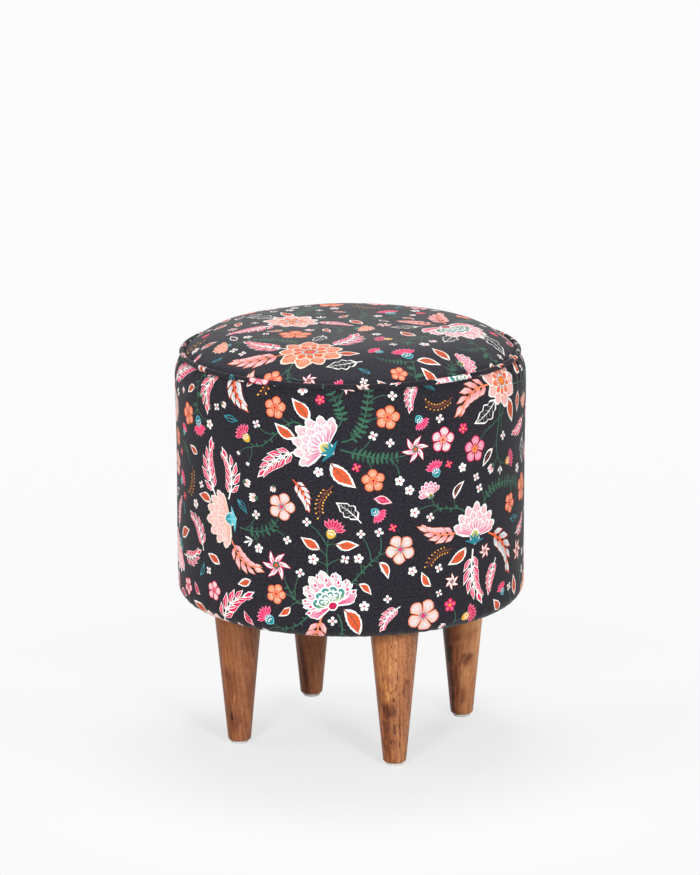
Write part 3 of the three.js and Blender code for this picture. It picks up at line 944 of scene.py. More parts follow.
def spotsUnder(outline, spots, order, ranked):
    first, last = np.searchsorted(ranked, (outline.real.min(), outline.real.max()))
    near = order[first:last]
    near = near[(spots[near].imag > outline.imag.min()) & (spots[near].imag < outline.imag.max())]
    return near[isInside(outline, spots[near])] if len(near) else near


def shownEdges(outlines, longest=5.0):
    points, following, owner = [], [], []
    for k, outline in enumerate(outlines):
        ahead = np.roll(outline, -1)
        first = len(points)
        for spot, step in zip(outline, ahead - outline):
            parts = int(abs(step) / longest) + 1
            points += [spot + step * part / parts for part in range(parts)]
        following += [*range(first + 1, len(points)), first]
        owner += [k] * (len(points) - first)
    points, following, owner = np.array(points), np.array(following), np.array(owner)
    order = np.argsort(points.real)
    ranked = points.real[order]
    covered, stamp = np.zeros(len(points), bool), np.full(len(points), -1)
    for k, outline in enumerate(outlines):
        under = spotsUnder(outline, points, order, ranked)
        under = under[owner[under] < k]
        stamp[under] = k
        covered[under] |= stamp[following[under]] == k
    return points, np.stack([np.arange(len(points)), following], 1)[~covered]


def thinned(outline):
    # Drops points that lie almost on the line between their neighbours, more of them on large shapes
    slack = min(0.34, max(0.19, 0.022 * max(abs(p - outline[0]) for p in outline)))
    kept = [outline[0]]
    for spot, ahead in zip(outline[1:], outline[2:] + outline[:1]):
        way = ahead - kept[-1]
        off = abs(((spot - kept[-1]) * way.conjugate()).imag) / (abs(way) or 1)
        if off > slack or abs(spot - kept[-1]) > abs(way):
            kept.append(spot)
    return kept


def cutFlat(layers, outline, grid, folds, insidePanel):
    # The panel's mesh in the flat: its corners, its triangles, and each triangle's shape or -1 for bare cloth
    layers = [(np.array(thinned(o)), paint) for o, paint in layers]
    layers = [(o, paint) for o, paint in layers if insidePanel(o).any()]
    points, edges = shownEdges([o for o, _ in layers])
    useful = insidePanel(points)
    edges = edges[useful[edges].any(1)]
    used = np.unique(edges)
    remade = np.full(len(points), -1)
    remade[used] = np.arange(len(used))
    spots, links = [points[used]], [remade[edges]]
    start = len(used)
    for line, isLoop in [(outline, True)] + [(fold, False) for fold in folds]:
        ids = np.arange(start, start + len(line))
        pairs = np.stack([ids, np.roll(ids, -1)], 1)
        links.append(pairs if isLoop else pairs[:-1])
        spots.append(np.array(line))
        start += len(line)
    spots = np.concatenate(spots + [grid])
    links = np.concatenate(links)
    found = delaunay_2d_cdt([Vector((p.real, p.imag)) for p in spots], links.tolist(), [], 0, 0.01, False)
    flatSpots = np.array([complex(p.x, p.y) for p in found[0]])
    faces = np.array([face for face in found[2] if len(face) == 3])
    middles = flatSpots[faces].mean(1)
    faces, middles = faces[insidePanel(middles)], middles[insidePanel(middles)]
    order = np.argsort(middles.real)
    ranked = middles.real[order]
    top = np.full(len(faces), -1)
    for k, (shape, _) in enumerate(layers):
        top[spotsUnder(shape, middles, order, ranked)] = k
    used, faces = np.unique(faces, return_inverse=True)
    return flatSpots[used], faces.reshape(-1, 3), top, [paint for _, paint in layers]


def inkAt(corners, top, paints):
    # Corner colours, faded in each shape's own paint
    table = {name: [int(code[i:i + 2], 16) / 255 for i in (1, 3, 5)] for name, code in inkColours.items()}
    paints = list(paints) + [flat("ground")]
    inner = np.array([table[p[0]] for p in paints])[top][:, None]
    outer = np.array([table[p[1]] for p in paints])[top][:, None]
    centre, radius = np.array([p[2] for p in paints])[top][:, None], np.array([p[3] for p in paints])[top][:, None]
    share = np.clip(abs(corners - centre) / radius, 0, 1)[..., None]
    mixed = inner + (outer - inner) * share
    linear = np.where(mixed <= 0.04045, mixed / 12.92, ((mixed + 0.055) / 1.055) ** 2.4)
    return np.concatenate([linear, np.ones(linear.shape[:2] + (1,))], 2)


def sewPanel(name, layers, outline, grid, folds, insidePanel, sew, onTable):
    flatSpots, faces, top, paints = cutFlat(layers, outline, grid, folds, insidePanel)
    nudge = 0.2
    places = sew(flatSpots)
    acrossWay = sew(flatSpots + nudge) - sew(flatSpots - nudge)
    alongWay = sew(flatSpots + 1j * nudge) - sew(flatSpots - 1j * nudge)
    normals = np.cross(acrossWay, alongWay)
    normals /= np.linalg.norm(normals, axis=1)[:, None]
    mesh = bpy.data.meshes.new(name)
    mesh.from_pydata((places * mm).tolist(), [], faces.tolist())
    corners = flatSpots[faces]
    colours = mesh.attributes.new("ink", "FLOAT_COLOR", "CORNER")
    colours.data.foreach_set("color", inkAt(corners, top, paints).ravel())
    for title, map2d in (("OFBake", onTable(corners)), ("cloth", corners * mm)):
        layer = mesh.uv_layers.new(name=title)
        layer.data.foreach_set("uv", np.stack([map2d.real, map2d.imag], -1).ravel())
    mesh.uv_layers.active = mesh.uv_layers["OFBake"]
    mesh.shade_smooth()
    mesh.normals_split_custom_set_from_vertices(normals.tolist())
    panel = bpy.data.objects.new(name, mesh)
    bpy.context.scene.collection.objects.link(panel)
    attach(panel, "root")
    print(name, "cut:", len(faces), "faces,", len(paints), "shapes")
    return panel


def foldedTable(length, width, rows):
    # Lays a long strip on the table in rows, so that its map is about square
    part, gap = length / rows, 2.0
    size = max(part, rows * (width + gap)) + gap

    def lay(corners):
        row = np.clip(np.floor(corners.real.mean(1) / part), 0, rows - 1)[:, None]
        return (corners - row * part + 1j * row * (width + gap) + gap / 2 * (1 + 1j)) / size

    return lay


def stripOutline(length, width, step):
    across = np.linspace(0, length, int(length / step) + 1)
    up = np.linspace(0, width, int(width / step) + 1)
    return np.concatenate([across[:-1], length + 1j * up[:-1], across[:0:-1] + 1j * width, 1j * up[:0:-1]])


def stripGrid(length, lines, step, rng):
    # Rows of points at the given heights, spaced a step apart, every other row shifted
    spots = []
    for k, height in enumerate(lines):
        across = np.arange(step * (0.5 + 0.5 * (k % 2)), length - step * 0.4, step)
        spots.append(across + rng.uniform(-0.1, 0.1, len(across)) * step + 1j * height)
    return np.concatenate(spots)


# The cover's shape, measured from the frame, in millimetres

sideLow, sideHigh = (np.array(v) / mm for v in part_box("side_cover"))
pipeLow, pipeHigh = (np.array(v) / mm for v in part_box("piping"))
topLow, topHigh = (np.array(v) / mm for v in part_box("top_cover"))
bodyRadius = float(sideHigh[0])
cover = {
    "hem radius": 153.5,
    "corner": 16.0,
    "draw in": 18.0,
    "bulge": 0.8,
    "bulge height": 368.0,
    "bulge spread": 38.0,
    "crown power": 6.9,
    "cord": 2.75,
    "tuck": 0.3,
}
cordRing = float(pipeHigh[0]) - cover["cord"]
cordHeight = float(pipeHigh[2]) - cover["cord"]
seatTop = float(topHigh[2])
girth = fullTurn * bodyRadius


def arc(centre, radius, start, end, count):
    return [centre + cmath.rect(radius, math.radians(start + (end - start) * k / count)) for k in range(count + 1)]


def alongLine(points):
    # Radius and height of a profile at each length along it
    points = np.array(points)
    lengths = np.concatenate([[0], np.cumsum(abs(np.diff(points)))])
    return lengths, points


def sideProfile():
    hem, corner = float(sideLow[2]), cover["corner"]
    inner = bodyRadius - corner
    points = [complex(cover["hem radius"], hem)] + arc(complex(inner, hem + corner), corner, -90, 0, 24)
    tuck = cover["cord"] + cover["tuck"]
    high = cordHeight - tuck
    low = high - cover["draw in"]
    for k in range(1, 80):
        height = hem + corner + (high - hem - corner) * k / 79
        share = max(0, (height - low) / cover["draw in"])
        bulge = cover["bulge"] * math.exp(-(((height - cover["bulge height"]) / cover["bulge spread"]) ** 2))
        points.append(complex(bodyRadius + bulge * (1 - share) - (bodyRadius - cordRing) * share**2, height))
    return alongLine(points + arc(complex(cordRing, cordHeight), tuck, -90, -150, 6)[1:])


def crownProfile():
    tuck = cover["cord"] + cover["tuck"]
    edge = cordRing - tuck
    points = []
    for k in range(201):
        share = 1 - (1 - k / 200) ** 1.6
        points.append(complex(edge * share, cordHeight + (seatTop - cordHeight) * (1 - share ** cover["crown power"])))
    return alongLine(points + arc(complex(cordRing, cordHeight), tuck, 180, 200, 3)[1:])


def onProfile(profile, length):
    lengths, points = profile
    spot = np.interp(length, lengths, points.real) + 1j * np.interp(length, lengths, points.imag)
    ahead = np.interp(length + 0.3, lengths, points.real) + 1j * np.interp(length + 0.3, lengths, points.imag)
    behindIt = np.interp(length - 0.3, lengths, points.real) + 1j * np.interp(length - 0.3, lengths, points.imag)
    way = ahead - behindIt
    return spot, way / np.maximum(abs(way), 1e-9)


def waves(seed, low, high, count):
    # A smooth uneven wave round the seat, between about -1 and 1
    rng = np.random.default_rng(seed)
    turns, phases = rng.integers(low, high, count), rng.uniform(0, fullTurn, count)
    sizes = rng.uniform(0.5, 1, count)
    sizes /= np.sqrt((sizes**2).sum())

    def at(angle):
        total = np.zeros_like(angle)
        for turn, phase, size in zip(turns, phases, sizes):
            total = total + size * np.cos(turn * angle + phase)
        return total

    return at


sag = {
    "broad": 0.5,
    "pucker": 0.42,
    "pucker fade": 9.0,
    "gather": 0.35,
    "back seam": 0.7,
    "crown": 0.6,
    "piping": 0.08,
}
# Single folds under the piping: bearing in degrees, length, height, half width and how far the lower end strays
sideFolds = (
    (-7.0, 24, 1.3, 2.8, 5), (-2.4, 32, 2.0, 2.5, 7), (1.8, 34, 2.3, 2.4, 7), (6.0, 30, 2.0, 2.6, 6), (11.5, 24, 1.2, 3.2, 4),
    (-146.0, 36, 1.4, 3.4, -6), (-141.0, 26, 1.0, 3.2, -4), (-96.0, 16, 0.7, 3.4, 2), (-38.0, 18, 0.8, 3.4, 3),
    (62.0, 26, 1.2, 3.2, 3), (67.0, 22, 0.9, 3.2, 3), (120.0, 22, 1.0, 3.2, -4), (171.0, 24, 1.1, 3.2, 4),
)
broadWaves = [waves(11 + k, 2, 9, 6) for k in range(3)]
puckerWaves, puckerMask = waves(21, 38, 95, 9), waves(22, 3, 14, 6)
gatherWaves = waves(23, 60, 120, 9)
topPuckers, topBroad = waves(24, 40, 100, 9), [waves(31 + k, 2, 8, 6) for k in range(3)]


def sideSurface(profile):
    lengths, _ = profile
    seam = lengths[-1] - 5

    def sew(spots):
        angle = math.pi / 2 + spots.real / bodyRadius
        length = np.clip(spots.imag, 0, lengths[-1])
        spot, way = onProfile(profile, length)
        height = length / seam
        rise = sag["broad"] * np.sin(math.pi * np.clip(height, 0, 1)) * (
            broadWaves[0](angle) * (1 - height) + broadWaves[1](angle) * height
            + 0.6 * broadWaves[2](angle) * np.sin(fullTurn * height)
        )
        near = np.exp(-np.abs(seam - length) / sag["pucker fade"]) * (length < seam)
        rise = rise + sag["pucker"] * near * puckerWaves(angle) * np.clip(0.75 + 0.6 * puckerMask(angle), 0.15, 1.6)
        drop = np.clip(seam - length, 0, None)
        for bearing, long, high, half, stray in sideFolds:
            turned = (angle - math.radians(bearing) + math.pi) % fullTurn - math.pi
            off = turned * bodyRadius - stray * drop / long
            fold = np.exp(-((off / half) ** 2)) * np.clip(1.25 - drop / long, 0, 1) ** 2 * np.clip(drop / 2.5, 0, 1)
            rise = rise + high * fold * (1 - 0.35 * drop / long) - 0.25 * high * np.exp(-((off / half / 2.4) ** 2)) * near
        low = np.exp(-(((length - 24) / 9) ** 2))
        rise = rise + sag["gather"] * low * gatherWaves(angle)
        around = np.minimum(spots.real % girth, girth - spots.real % girth)
        rise = rise - sag["back seam"] * np.exp(-((around / 1.5) ** 2)) * (length > 12)
        radius, up = spot.real + way.imag * rise, spot.imag - way.real * rise
        return np.stack([radius * np.cos(angle), radius * np.sin(angle), up], 1)

    return sew


def topSurface(profile):
    lengths, _ = profile
    seam = lengths[-1] - 1.0

    def sew(spots):
        length, angle = np.minimum(abs(spots), lengths[-1]), np.angle(spots)
        spot, way = onProfile(profile, length)
        share = length / seam
        near = np.exp(-np.abs(seam - length) / sag["pucker fade"]) * (length < seam)
        rise = sag["pucker"] * near * topPuckers(angle) * np.clip(0.7 + 0.6 * puckerMask(angle), 0.15, 1.6)
        rise = rise + sag["crown"] * np.clip(1 - share**6, 0, 1) * share**2 * (
            topBroad[0](angle) * share + 0.7 * topBroad[1](angle) * np.sin(fullTurn * share)
        )
        radius, up = spot.real - way.imag * rise, spot.imag + way.real * rise
        return np.stack([radius * np.cos(angle), radius * np.sin(angle), up], 1)

    return sew


def cordSurface(width, flange):
    around = fullTurn * cover["cord"]

    def sew(spots):
        angle = math.pi / 2 + spots.real / cordRing
        along = spots.imag - flange
        # the strip leaves the flange, goes once round the cord, and comes back to it
        share = np.clip(along / around, 0, 1)
        turn = -math.pi * 0.72 - share * (fullTurn - 0.12)
        wrinkle = sag["piping"] * (np.cos(170 * angle + 3 * turn) + np.cos(113 * angle - 2 * turn))
        wrinkle = wrinkle * np.clip(0.9 + 0.6 * puckerMask(angle), 0.3, 1.6)
        join = 0.25 * np.exp(-(((spots.real - girth * 0.02) / 1.4) ** 2))
        radius = cover["cord"] + wrinkle + join
        ring, up = cordRing + radius * np.cos(turn), cordHeight + radius * np.sin(turn)
        down = np.clip(-along, 0, None) + np.clip(along - around, 0, None)
        inwards = np.clip(down, 0, 1.5) / 1.5
        ring, up = ring - inwards * 0.3, up - down
        return np.stack([ring * np.cos(angle), ring * np.sin(angle), up], 1)

    return sew


# Printed cotton

cotton = {
    "side seed": 24,
    "top seed": 16,
    "cord seed": 31,
    "threads": 1300.0,
    "thread height": 0.10 * mm,
    "tone": 0.16,
    "speck": 480.0,
    "fibre ends": "#23232a",
    "paintedCrownSheen": "#1c1c1f",
}


def printedCotton():
    surface = {"Roughness": 0.9, "Sheen Weight": 0.12, "Sheen Roughness": 0.4, "Specular IOR Level": 0.2}
    material, tree, shader = newMaterial("printedCotton", surface)
    ink = addNode(tree, "Attribute", attribute_name="ink").outputs["Color"]
    place = addNode(tree, "UVMap", uv_map="cloth").outputs[0]
    threads = useGroup(tree, weave, {"Place": place, "Threads": cotton["threads"], "Uneven": 0.6})
    tone = remap(tree, threads["Tone"], 0.2, 0.8, 1 - cotton["tone"], 1 + cotton["tone"])
    blotch = remap(tree, noise(tree, place, 22.0, 4.0), 0.3, 0.7, 0.94, 1.06)
    tone = maths(tree, "MULTIPLY", tone, blotch)
    # painted shade: the cloth is darker where the weave lies low, between the threads
    grain = remap(tree, threads["Height"], 0.0, 1.0, 0.82, 1.05)
    tone = maths(tree, "MULTIPLY", tone, grain)
    speck = noise(tree, place, cotton["speck"], 3.0, rough=0.75)
    tone = maths(tree, "MULTIPLY", tone, remap(tree, speck, 0.3, 0.7, 0.88, 1.12))
    shade = addNode(tree, "CombineColor", {0: tone, 1: tone, 2: tone}).outputs[0]
    colour = mixColour(tree, 1.0, ink, shade, "MULTIPLY")
    # pale fibre ends that stand out of the weave and show on the dark ground
    ends = remap(tree, speck, 0.46, 0.66)
    colour = mixColour(tree, ends, colour, colourOf(cotton["fibre ends"]), "ADD")
    # painted sheen: the crown is made a little paler, most of all at its shoulder, standing in for the sheen it catches
    spot = objectPlace(tree)
    above = addNode(tree, "SeparateXYZ", {0: spot}).outputs[2]
    # painted sheen: a paler colour is added on the crown, more towards its shoulder
    onCrown = remap(tree, above, (cordHeight + 2) * mm, (cordHeight + 6) * mm)
    level = addNode(tree, "VectorMath", {0: spot, 1: (1, 1, 0)}, operation="MULTIPLY").outputs[0]
    reach = addNode(tree, "VectorMath", {0: level}, operation="LENGTH").outputs["Value"]
    paintedCrownSheen = maths(tree, "MULTIPLY", onCrown, remap(tree, reach, 0.085, 0.15, 0.35, 1.0))
    colour = mixColour(tree, paintedCrownSheen, colour, colourOf(cotton["paintedCrownSheen"]), "ADD")
    tree.links.new(colour, shader.inputs["Base Color"])
    bump(tree, shader, threads["Height"], cotton["thread height"], 0.6)
    return material


def addPrintedPieces(material):
    rng = np.random.default_rng(7)
    profile = sideProfile()
    width = sideWidth = float(profile[0][-1])
    lines = [*np.arange(1.5, 36, 2.3), *np.arange(width - 22, width - 6, 2.6), *np.arange(width - 4.5, width - 0.5, 1.0)]
    grid = [stripGrid(girth, lines, 4.5, rng), stripGrid(girth, np.arange(39, width - 24, 6.0), 6.5, rng)]
    for bearing, long, _, half, stray in sideFolds:
        middle = (math.radians(bearing) - math.pi / 2) % fullTurn * bodyRadius
        for drop in np.arange(1.0, long * 1.2, 2.2):
            grid.append(middle + stray * drop / long + np.arange(-2.8, 2.9, 0.56) * half + 1j * (width - 5 - drop))
    grid = np.concatenate(grid)
    middle = girth / 2 + 1j * np.linspace(0, width, 64)
    side = sewPanel(
        "sideBand", floralPrint(girth, width, cotton["side seed"]), stripOutline(girth, width, 3.0), grid, [middle],
        lambda p: (p.real > 0) & (p.real < girth) & (p.imag > 0) & (p.imag < width),
        sideSurface(profile), foldedTable(girth, width, 2),
    )
    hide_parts("side_cover")

    profile = crownProfile()
    radius = float(profile[0][-1])
    rows = []
    for reach in [*np.arange(5, radius - 26, 4.5), *np.arange(radius - 24, radius - 1, 2.2)]:
        count = int(fullTurn * reach / 4.5)
        rows.append(reach * np.exp(1j * (np.arange(count) + rng.uniform(0, 1)) * fullTurn / count))
    layers = placed(floralPrint(2 * radius, 2 * radius, cotton["top seed"]), -radius * (1 + 1j))
    top = sewPanel(
        "topPanel", layers, radius * np.exp(1j * np.arange(380) * fullTurn / 380), np.concatenate(rows), [],
        lambda p: abs(p) < radius, topSurface(profile), lambda c: (c / (radius + 2) + 1 + 1j) / 2,
    )
    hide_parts("top_cover")

    flange = 8.0
    length, width = fullTurn * cordRing, fullTurn * cover["cord"] + 2 * flange
    lines = [*np.arange(2, flange - 1, 2.0), *np.arange(flange - 0.5, width - flange + 1, 1.0), *np.arange(width - flange + 2, width, 2.0)]
    folds = [length * k / 6 + 1j * np.linspace(0, width, 18) for k in range(1, 6)]
    cord = sewPanel(
        "pipingCord", floralPrint(length, width, cotton["cord seed"]), stripOutline(length, width, 2.0), stripGrid(length, lines, 2.4, rng),
        folds, lambda p: (p.real > 0) & (p.real < length) & (p.imag > 0) & (p.imag < width),
        cordSurface(width, flange), foldedTable(length, width, 6),
    )
    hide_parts("piping")
    for panel, slotName in ((side, "printed_cotton"), (top, "printed_cotton"), (cord, "piping_cotton")):
        panel.data.materials.append(material)
    return side, top, cord


sideBand, topPanel, pipingCord = addPrintedPieces(printedCotton())
print("printed pieces sewn")


# Turned pieces: an outline of radius and height in millimetres is spun round a centre


def spinOutline(name, outline, centre, segments, wander=None):
    # Points on the axis stay single, and an outline that never meets it closes on itself
    angles = np.arange(segments) * fullTurn / segments
    points, rows = [], []
    for spot in outline:
        first = len(points)
        if spot.real < 1e-6:
            points.append((centre.real, centre.imag, spot.imag))
            rows.append([first] * segments)
            continue
        radius = spot.real + (wander(angles, spot) if wander else 0 * angles)
        x, y = centre.real + radius * np.cos(angles), centre.imag + radius * np.sin(angles)
        points += zip(x, y, [spot.imag] * segments)
        rows.append(list(range(first, first + segments)))
    closing = [(rows[-1], rows[0])] if outline[0].real > 1e-6 else []
    faces = []
    for low, high in list(zip(rows, rows[1:])) + closing:
        for k in range(segments):
            ahead = (k + 1) % segments
            face = list(dict.fromkeys((low[k], low[ahead], high[ahead], high[k])))
            if len(face) > 2:
                faces.append(face)
    mesh = bpy.data.meshes.new(name)
    mesh.from_pydata([[v * mm for v in p] for p in points], [], faces)
    mesh.shade_smooth()
    mesh.set_sharp_from_angle(angle=math.radians(38))
    piece = bpy.data.objects.new(name, mesh)
    bpy.context.scene.collection.objects.link(piece)
    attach(piece, "root")
    return piece


def finishPiece(piece, material, slotName, *nodes):
    piece.data.materials.append(material)
    if nodes:
        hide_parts(*nodes)


def boxOf(node):
    low, high = (np.array(v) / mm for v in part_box(node))
    return low, high, complex(*((low + high) / 2)[:2])


# Legs: turned hardwood with a satin lacquer, each from its own stick of wood

turnedLegs = {
    "segments": 96,
    "foot radius": 12.0,
    "foot round": 2.4,
    "top round": 0.8,
    "nail hole": 1.4,
    "nail depth": 14.3,
    "bolt hole": 4.3,
    "bolt depth": 32.3,
    "wobble": 0.1,
    "roughness": 0.42,
    "shine": 0.17,
    "lacquer": 0.04,
    "lacquer roughness": 0.3,
    "paintedLitDesaturation": 0.94,
    "wood": ("#2b130b", "#5b2c18", "#8d522e", "#b4733f", "#d69c62"),
}
# Grain lean in degrees and seed, tones at the top and at the foot (left, middle, right as seen from the
# camera), which hold painted light and shade besides the wood's own tone, pores, and darker and paler spots,
# partly the wood's own marks and partly painted light and shade, as (bearing at the lower and at the upper
# end, half width, low, high, strength)
legLooks = {
    "front_left": {
        "lean": 7.0, "seed": 0.31, "top": (0.43, 0.54, 0.53), "foot": (0.40, 0.48, 0.47), "pores": 0.3,
        "grain": 0.05, "fibre": 0.07, "fleck": 0.08,
        "darkAndPaleSpots": (
            (-37, -37, 12, 72, 86, 0.14), (-33, -33, 7, 29, 37, 0.26), (50, 50, 5, 95, 101, 0.25), (-45, -30, 14, 3, 40, 0.10),
            (-22, -16, 3, 38, 56, -0.18), (2, 6, 3, 3, 24, -0.22), (-52, -42, 12, 60, 123, -0.08), (-6, -16, 5, 60, 110, 0.08),
        ),
    },
    "rear_left": {
        "lean": 9.0, "seed": 1.73, "top": (0.51, 0.58, 0.60), "foot": (0.33, 0.50, 0.58), "pores": 0.4,
        "grain": 0.05, "fibre": 0.07, "fleck": 0.07,
        "darkAndPaleSpots": ((-16, -46, 9, 0, 66, 0.24), (-62, -62, 12, 0, 60, 0.10), (8, -2, 5, 30, 70, 0.08), (26, 22, 6, 0, 40, -0.06)),
    },
    "front_right": {
        "lean": 2.0, "seed": 2.47, "top": (0.67, 0.65, 0.60), "foot": (0.43, 0.55, 0.61), "pores": 0.8,
        "grain": 0.08, "fibre": 0.10, "fleck": 0.16,
        "darkAndPaleSpots": (
            (-22, -22, 14, 93, 100, 0.16), (-21, -21, 20, 54, 68, 0.26), (-33, -33, 14, 8, 56, 0.12), (4, 4, 3, 84, 92, 0.22),
            (0, 0, 4, 38, 46, 0.24), (50, 48, 4, 60, 72, 0.20), (-22, -22, 4, 74, 82, -0.28), (-8, -8, 4, 8, 18, -0.20),
            (22, 18, 4, 20, 56, 0.12), (-12, -5, 12, 96, 118, -0.08),
        ),
    },
    "rear_right": {
        "lean": -4.0, "seed": 3.9, "top": (0.38, 0.75, 0.92), "foot": (0.34, 0.64, 0.72), "pores": 0.4,
        "grain": 0.05, "fibre": 0.07, "fleck": 0.10,
        "darkAndPaleSpots": (
            (-52, -50, 13, 62, 79, 0.55), (-46, -44, 6, 2, 60, 0.22), (10, 22, 22, 60, 72, 0.28), (24, 30, 9, 66, 76, 0.22),
            (4, 10, 16, 16, 34, 0.18), (-60, -60, 20, 80, 100, 0.22), (-20, -24, 5, 24, 60, 0.14),
            (0, 8, 10, 36, 58, -0.12), (-10, 40, 30, 88, 100, 0.10), (36, 36, 8, 4, 20, 0.12),
        ),
    },
}


def legToneAndPaintedLight(tree, side, up, look, length):
    # Between the tones at the left, middle and right, and from the foot to the top; these tones hold painted light and
    # shade as well as the wood's own tone
    left = remap(tree, side, 0.0, -0.68)
    right = remap(tree, side, 0.0, 0.68)
    levels = []
    for low, middle, high in (look["foot"], look["top"]):
        tone = maths(tree, "MULTIPLY_ADD", left, low - middle, middle)
        levels.append(maths(tree, "MULTIPLY_ADD", right, high - middle, tone))
    share = remap(tree, up, 0.15 * length, 0.9 * length)
    return addNode(tree, "Mix", {0: share, 2: levels[0], 3: levels[1]}, data_type="FLOAT").outputs[0]


def legWood(place, centre, look, length):
    settings = {
        "Roughness": turnedLegs["roughness"], "Coat Weight": turnedLegs["lacquer"],
        "Coat Roughness": turnedLegs["lacquer roughness"], "Specular IOR Level": turnedLegs["shine"],
    }
    material, tree, shader = newMaterial("legWood_" + place, settings)
    middle = (centre.real * mm, centre.imag * mm, 0)
    spot = addNode(tree, "VectorMath", {0: objectPlace(tree), 1: middle}, operation="SUBTRACT").outputs[0]
    turn = math.radians(studio["turn"])
    facing = addNode(tree, "Mapping", {"Vector": spot, "Rotation": (0, 0, -turn)}, vector_type="POINT").outputs[0]
    leaning = addNode(tree, "Mapping", {"Vector": facing, "Rotation": (0, math.radians(look["lean"]), 0)}).outputs[0]
    grain = useGroup(tree, wood, {"Place": leaning, "Ring": 62.0, "Wander": 0.016, "Seed": look["seed"]})
    axes = addNode(tree, "SeparateXYZ", {0: facing}).outputs
    side = maths(tree, "ARCTAN2", axes[0], maths(tree, "MULTIPLY", axes[1], -1.0))
    drift = remap(tree, noise(tree, leaning, 90.0, 5.0, (1, 1, 0.5), 0.65), 0.3, 0.7, -0.26, 0.26)
    wavering = maths(tree, "SINE", maths(tree, "MULTIPLY_ADD", drift, 0.5, side))
    shade = legToneAndPaintedLight(tree, wavering, axes[2], look, length * mm)
    shade = maths(tree, "ADD", shade, remap(tree, grain["Patch"], 0.25, 0.75, -0.13, 0.13))
    shade = maths(tree, "ADD", shade, remap(tree, grain["Grain"], 0.0, 1.0, -look["grain"], look["grain"]))
    shade = maths(tree, "ADD", shade, remap(tree, grain["Fibre"], 0.3, 0.7, -look["fibre"], look["fibre"]))
    fleck = noise(tree, leaning, 900.0, 4.0, (1, 1, 0.3), 0.75)
    shade = maths(tree, "ADD", shade, remap(tree, fleck, 0.3, 0.7, -look["fleck"], look["fleck"]))
    stray = remap(tree, noise(tree, leaning, 210.0, 4.0, (1, 1, 0.5), 0.65), 0.3, 0.7, -0.12, 0.12)
    # darker and paler spots: partly the wood's own marks, partly painted light and shade
    for lowBearing, highBearing, width, low, high, strength in look["darkAndPaleSpots"]:
        bearing = remap(tree, axes[2], low * mm, high * mm, math.radians(lowBearing), math.radians(highBearing))
        near = maths(tree, "ABSOLUTE", maths(tree, "SUBTRACT", side, bearing))
        near = maths(tree, "MULTIPLY_ADD", stray, min(1.0, width / 9), near)
        across = remap(tree, near, math.radians(width) * 1.3, math.radians(width) * 0.4)
        middleHeight, reach = (low + high) / 2 * mm, (high - low) / 2 * mm
        off = maths(tree, "ABSOLUTE", maths(tree, "SUBTRACT", axes[2], middleHeight))
        off = maths(tree, "MULTIPLY_ADD", stray, 0.02, off)
        along = remap(tree, off, reach * 1.25, reach * 0.6)
        spotShift = maths(tree, "MULTIPLY", maths(tree, "MULTIPLY", across, along), strength)
        shade = maths(tree, "SUBTRACT", shade, spotShift)
    stops = [(k / 4, colourOf(code)) for k, code in enumerate(turnedLegs["wood"])]
    # painted light: the middle and right of each leg, as the camera sees it, are made a little less saturated
    paintedLitDesaturation = remap(tree, wavering, -0.6, 0.0, 1.0, turnedLegs["paintedLitDesaturation"])  # paler where the light falls
    inputs = {"Saturation": paintedLitDesaturation, "Color": ramp(tree, shade, stops)}
    colour = addNode(tree, "HueSaturation", inputs).outputs[0]
    pores = maths(tree, "MULTIPLY", grain["Pore"], look["pores"])
    colour = mixColour(tree, pores, colour, colourOf("#2a1109"))
    tree.links.new(colour, shader.inputs["Base Color"])
    height = maths(tree, "SUBTRACT", maths(tree, "MULTIPLY", grain["Fibre"], 0.5), grain["Pore"])
    bump(tree, shader, height, 0.08 * mm, 0.7)
    return material


def addLeg(place, look):
    low, high, centre = boxOf("leg_" + place)
    foot, top = float(low[2]), float(high[2])
    footRadius, topRadius = turnedLegs["foot radius"], float(high[0] - low[0]) / 2
    footRound, topRound = turnedLegs["foot round"], turnedLegs["top round"]
    nailTop, boltLow = foot + turnedLegs["nail depth"], top - turnedLegs["bolt depth"]
    outline = [1j * nailTop, turnedLegs["nail hole"] + 1j * nailTop, turnedLegs["nail hole"] + 1j * foot]
    outline += [6 + 1j * foot] + arc(footRadius - footRound + 1j * (foot + footRound), footRound, -90, 0, 5)
    start, end = outline[-1], topRadius + 1j * (top - topRound)
    outline += [start + (end - start) * k / 36 for k in range(1, 36)]
    outline += arc(topRadius - topRound + 1j * (top - topRound), topRound, 0, 90, 4)
    outline += [14 + 1j * top, turnedLegs["bolt hole"] + 1j * top, turnedLegs["bolt hole"] + 1j * boltLow, 1j * boltLow]
    seed = int(look["seed"] * 100)
    ripples = [waves(seed + k, 2, 6, 3) for k in range(3)]

    def wander(angles, spot):
        # the lathe and the sanding leave it a little out of round
        if spot.real < footRadius - footRound:
            return 0 * angles
        up = (spot.imag - foot) / (top - foot)
        sway = ripples[0](angles) * (1 - up) + ripples[1](angles) * up + 0.5 * ripples[2](angles) * math.sin(7 * up)
        return turnedLegs["wobble"] * (sway - 1) * 0.5

    leg = spinOutline("leg_" + place + "_turned", outline, centre, turnedLegs["segments"], wander)
    finishPiece(leg, legWood(place, centre, look, top), "leg_wood", "leg_" + place)


# Glides: grey nylon discs nailed under the legs

glideShape = {
    "rim round": 1.0,
    "hole": 1.4,
    "recess": 2.9,
    "recess top": 1.6,
    "colour": "#c6c6c5",
    "scuffed": "#dadad8",
}


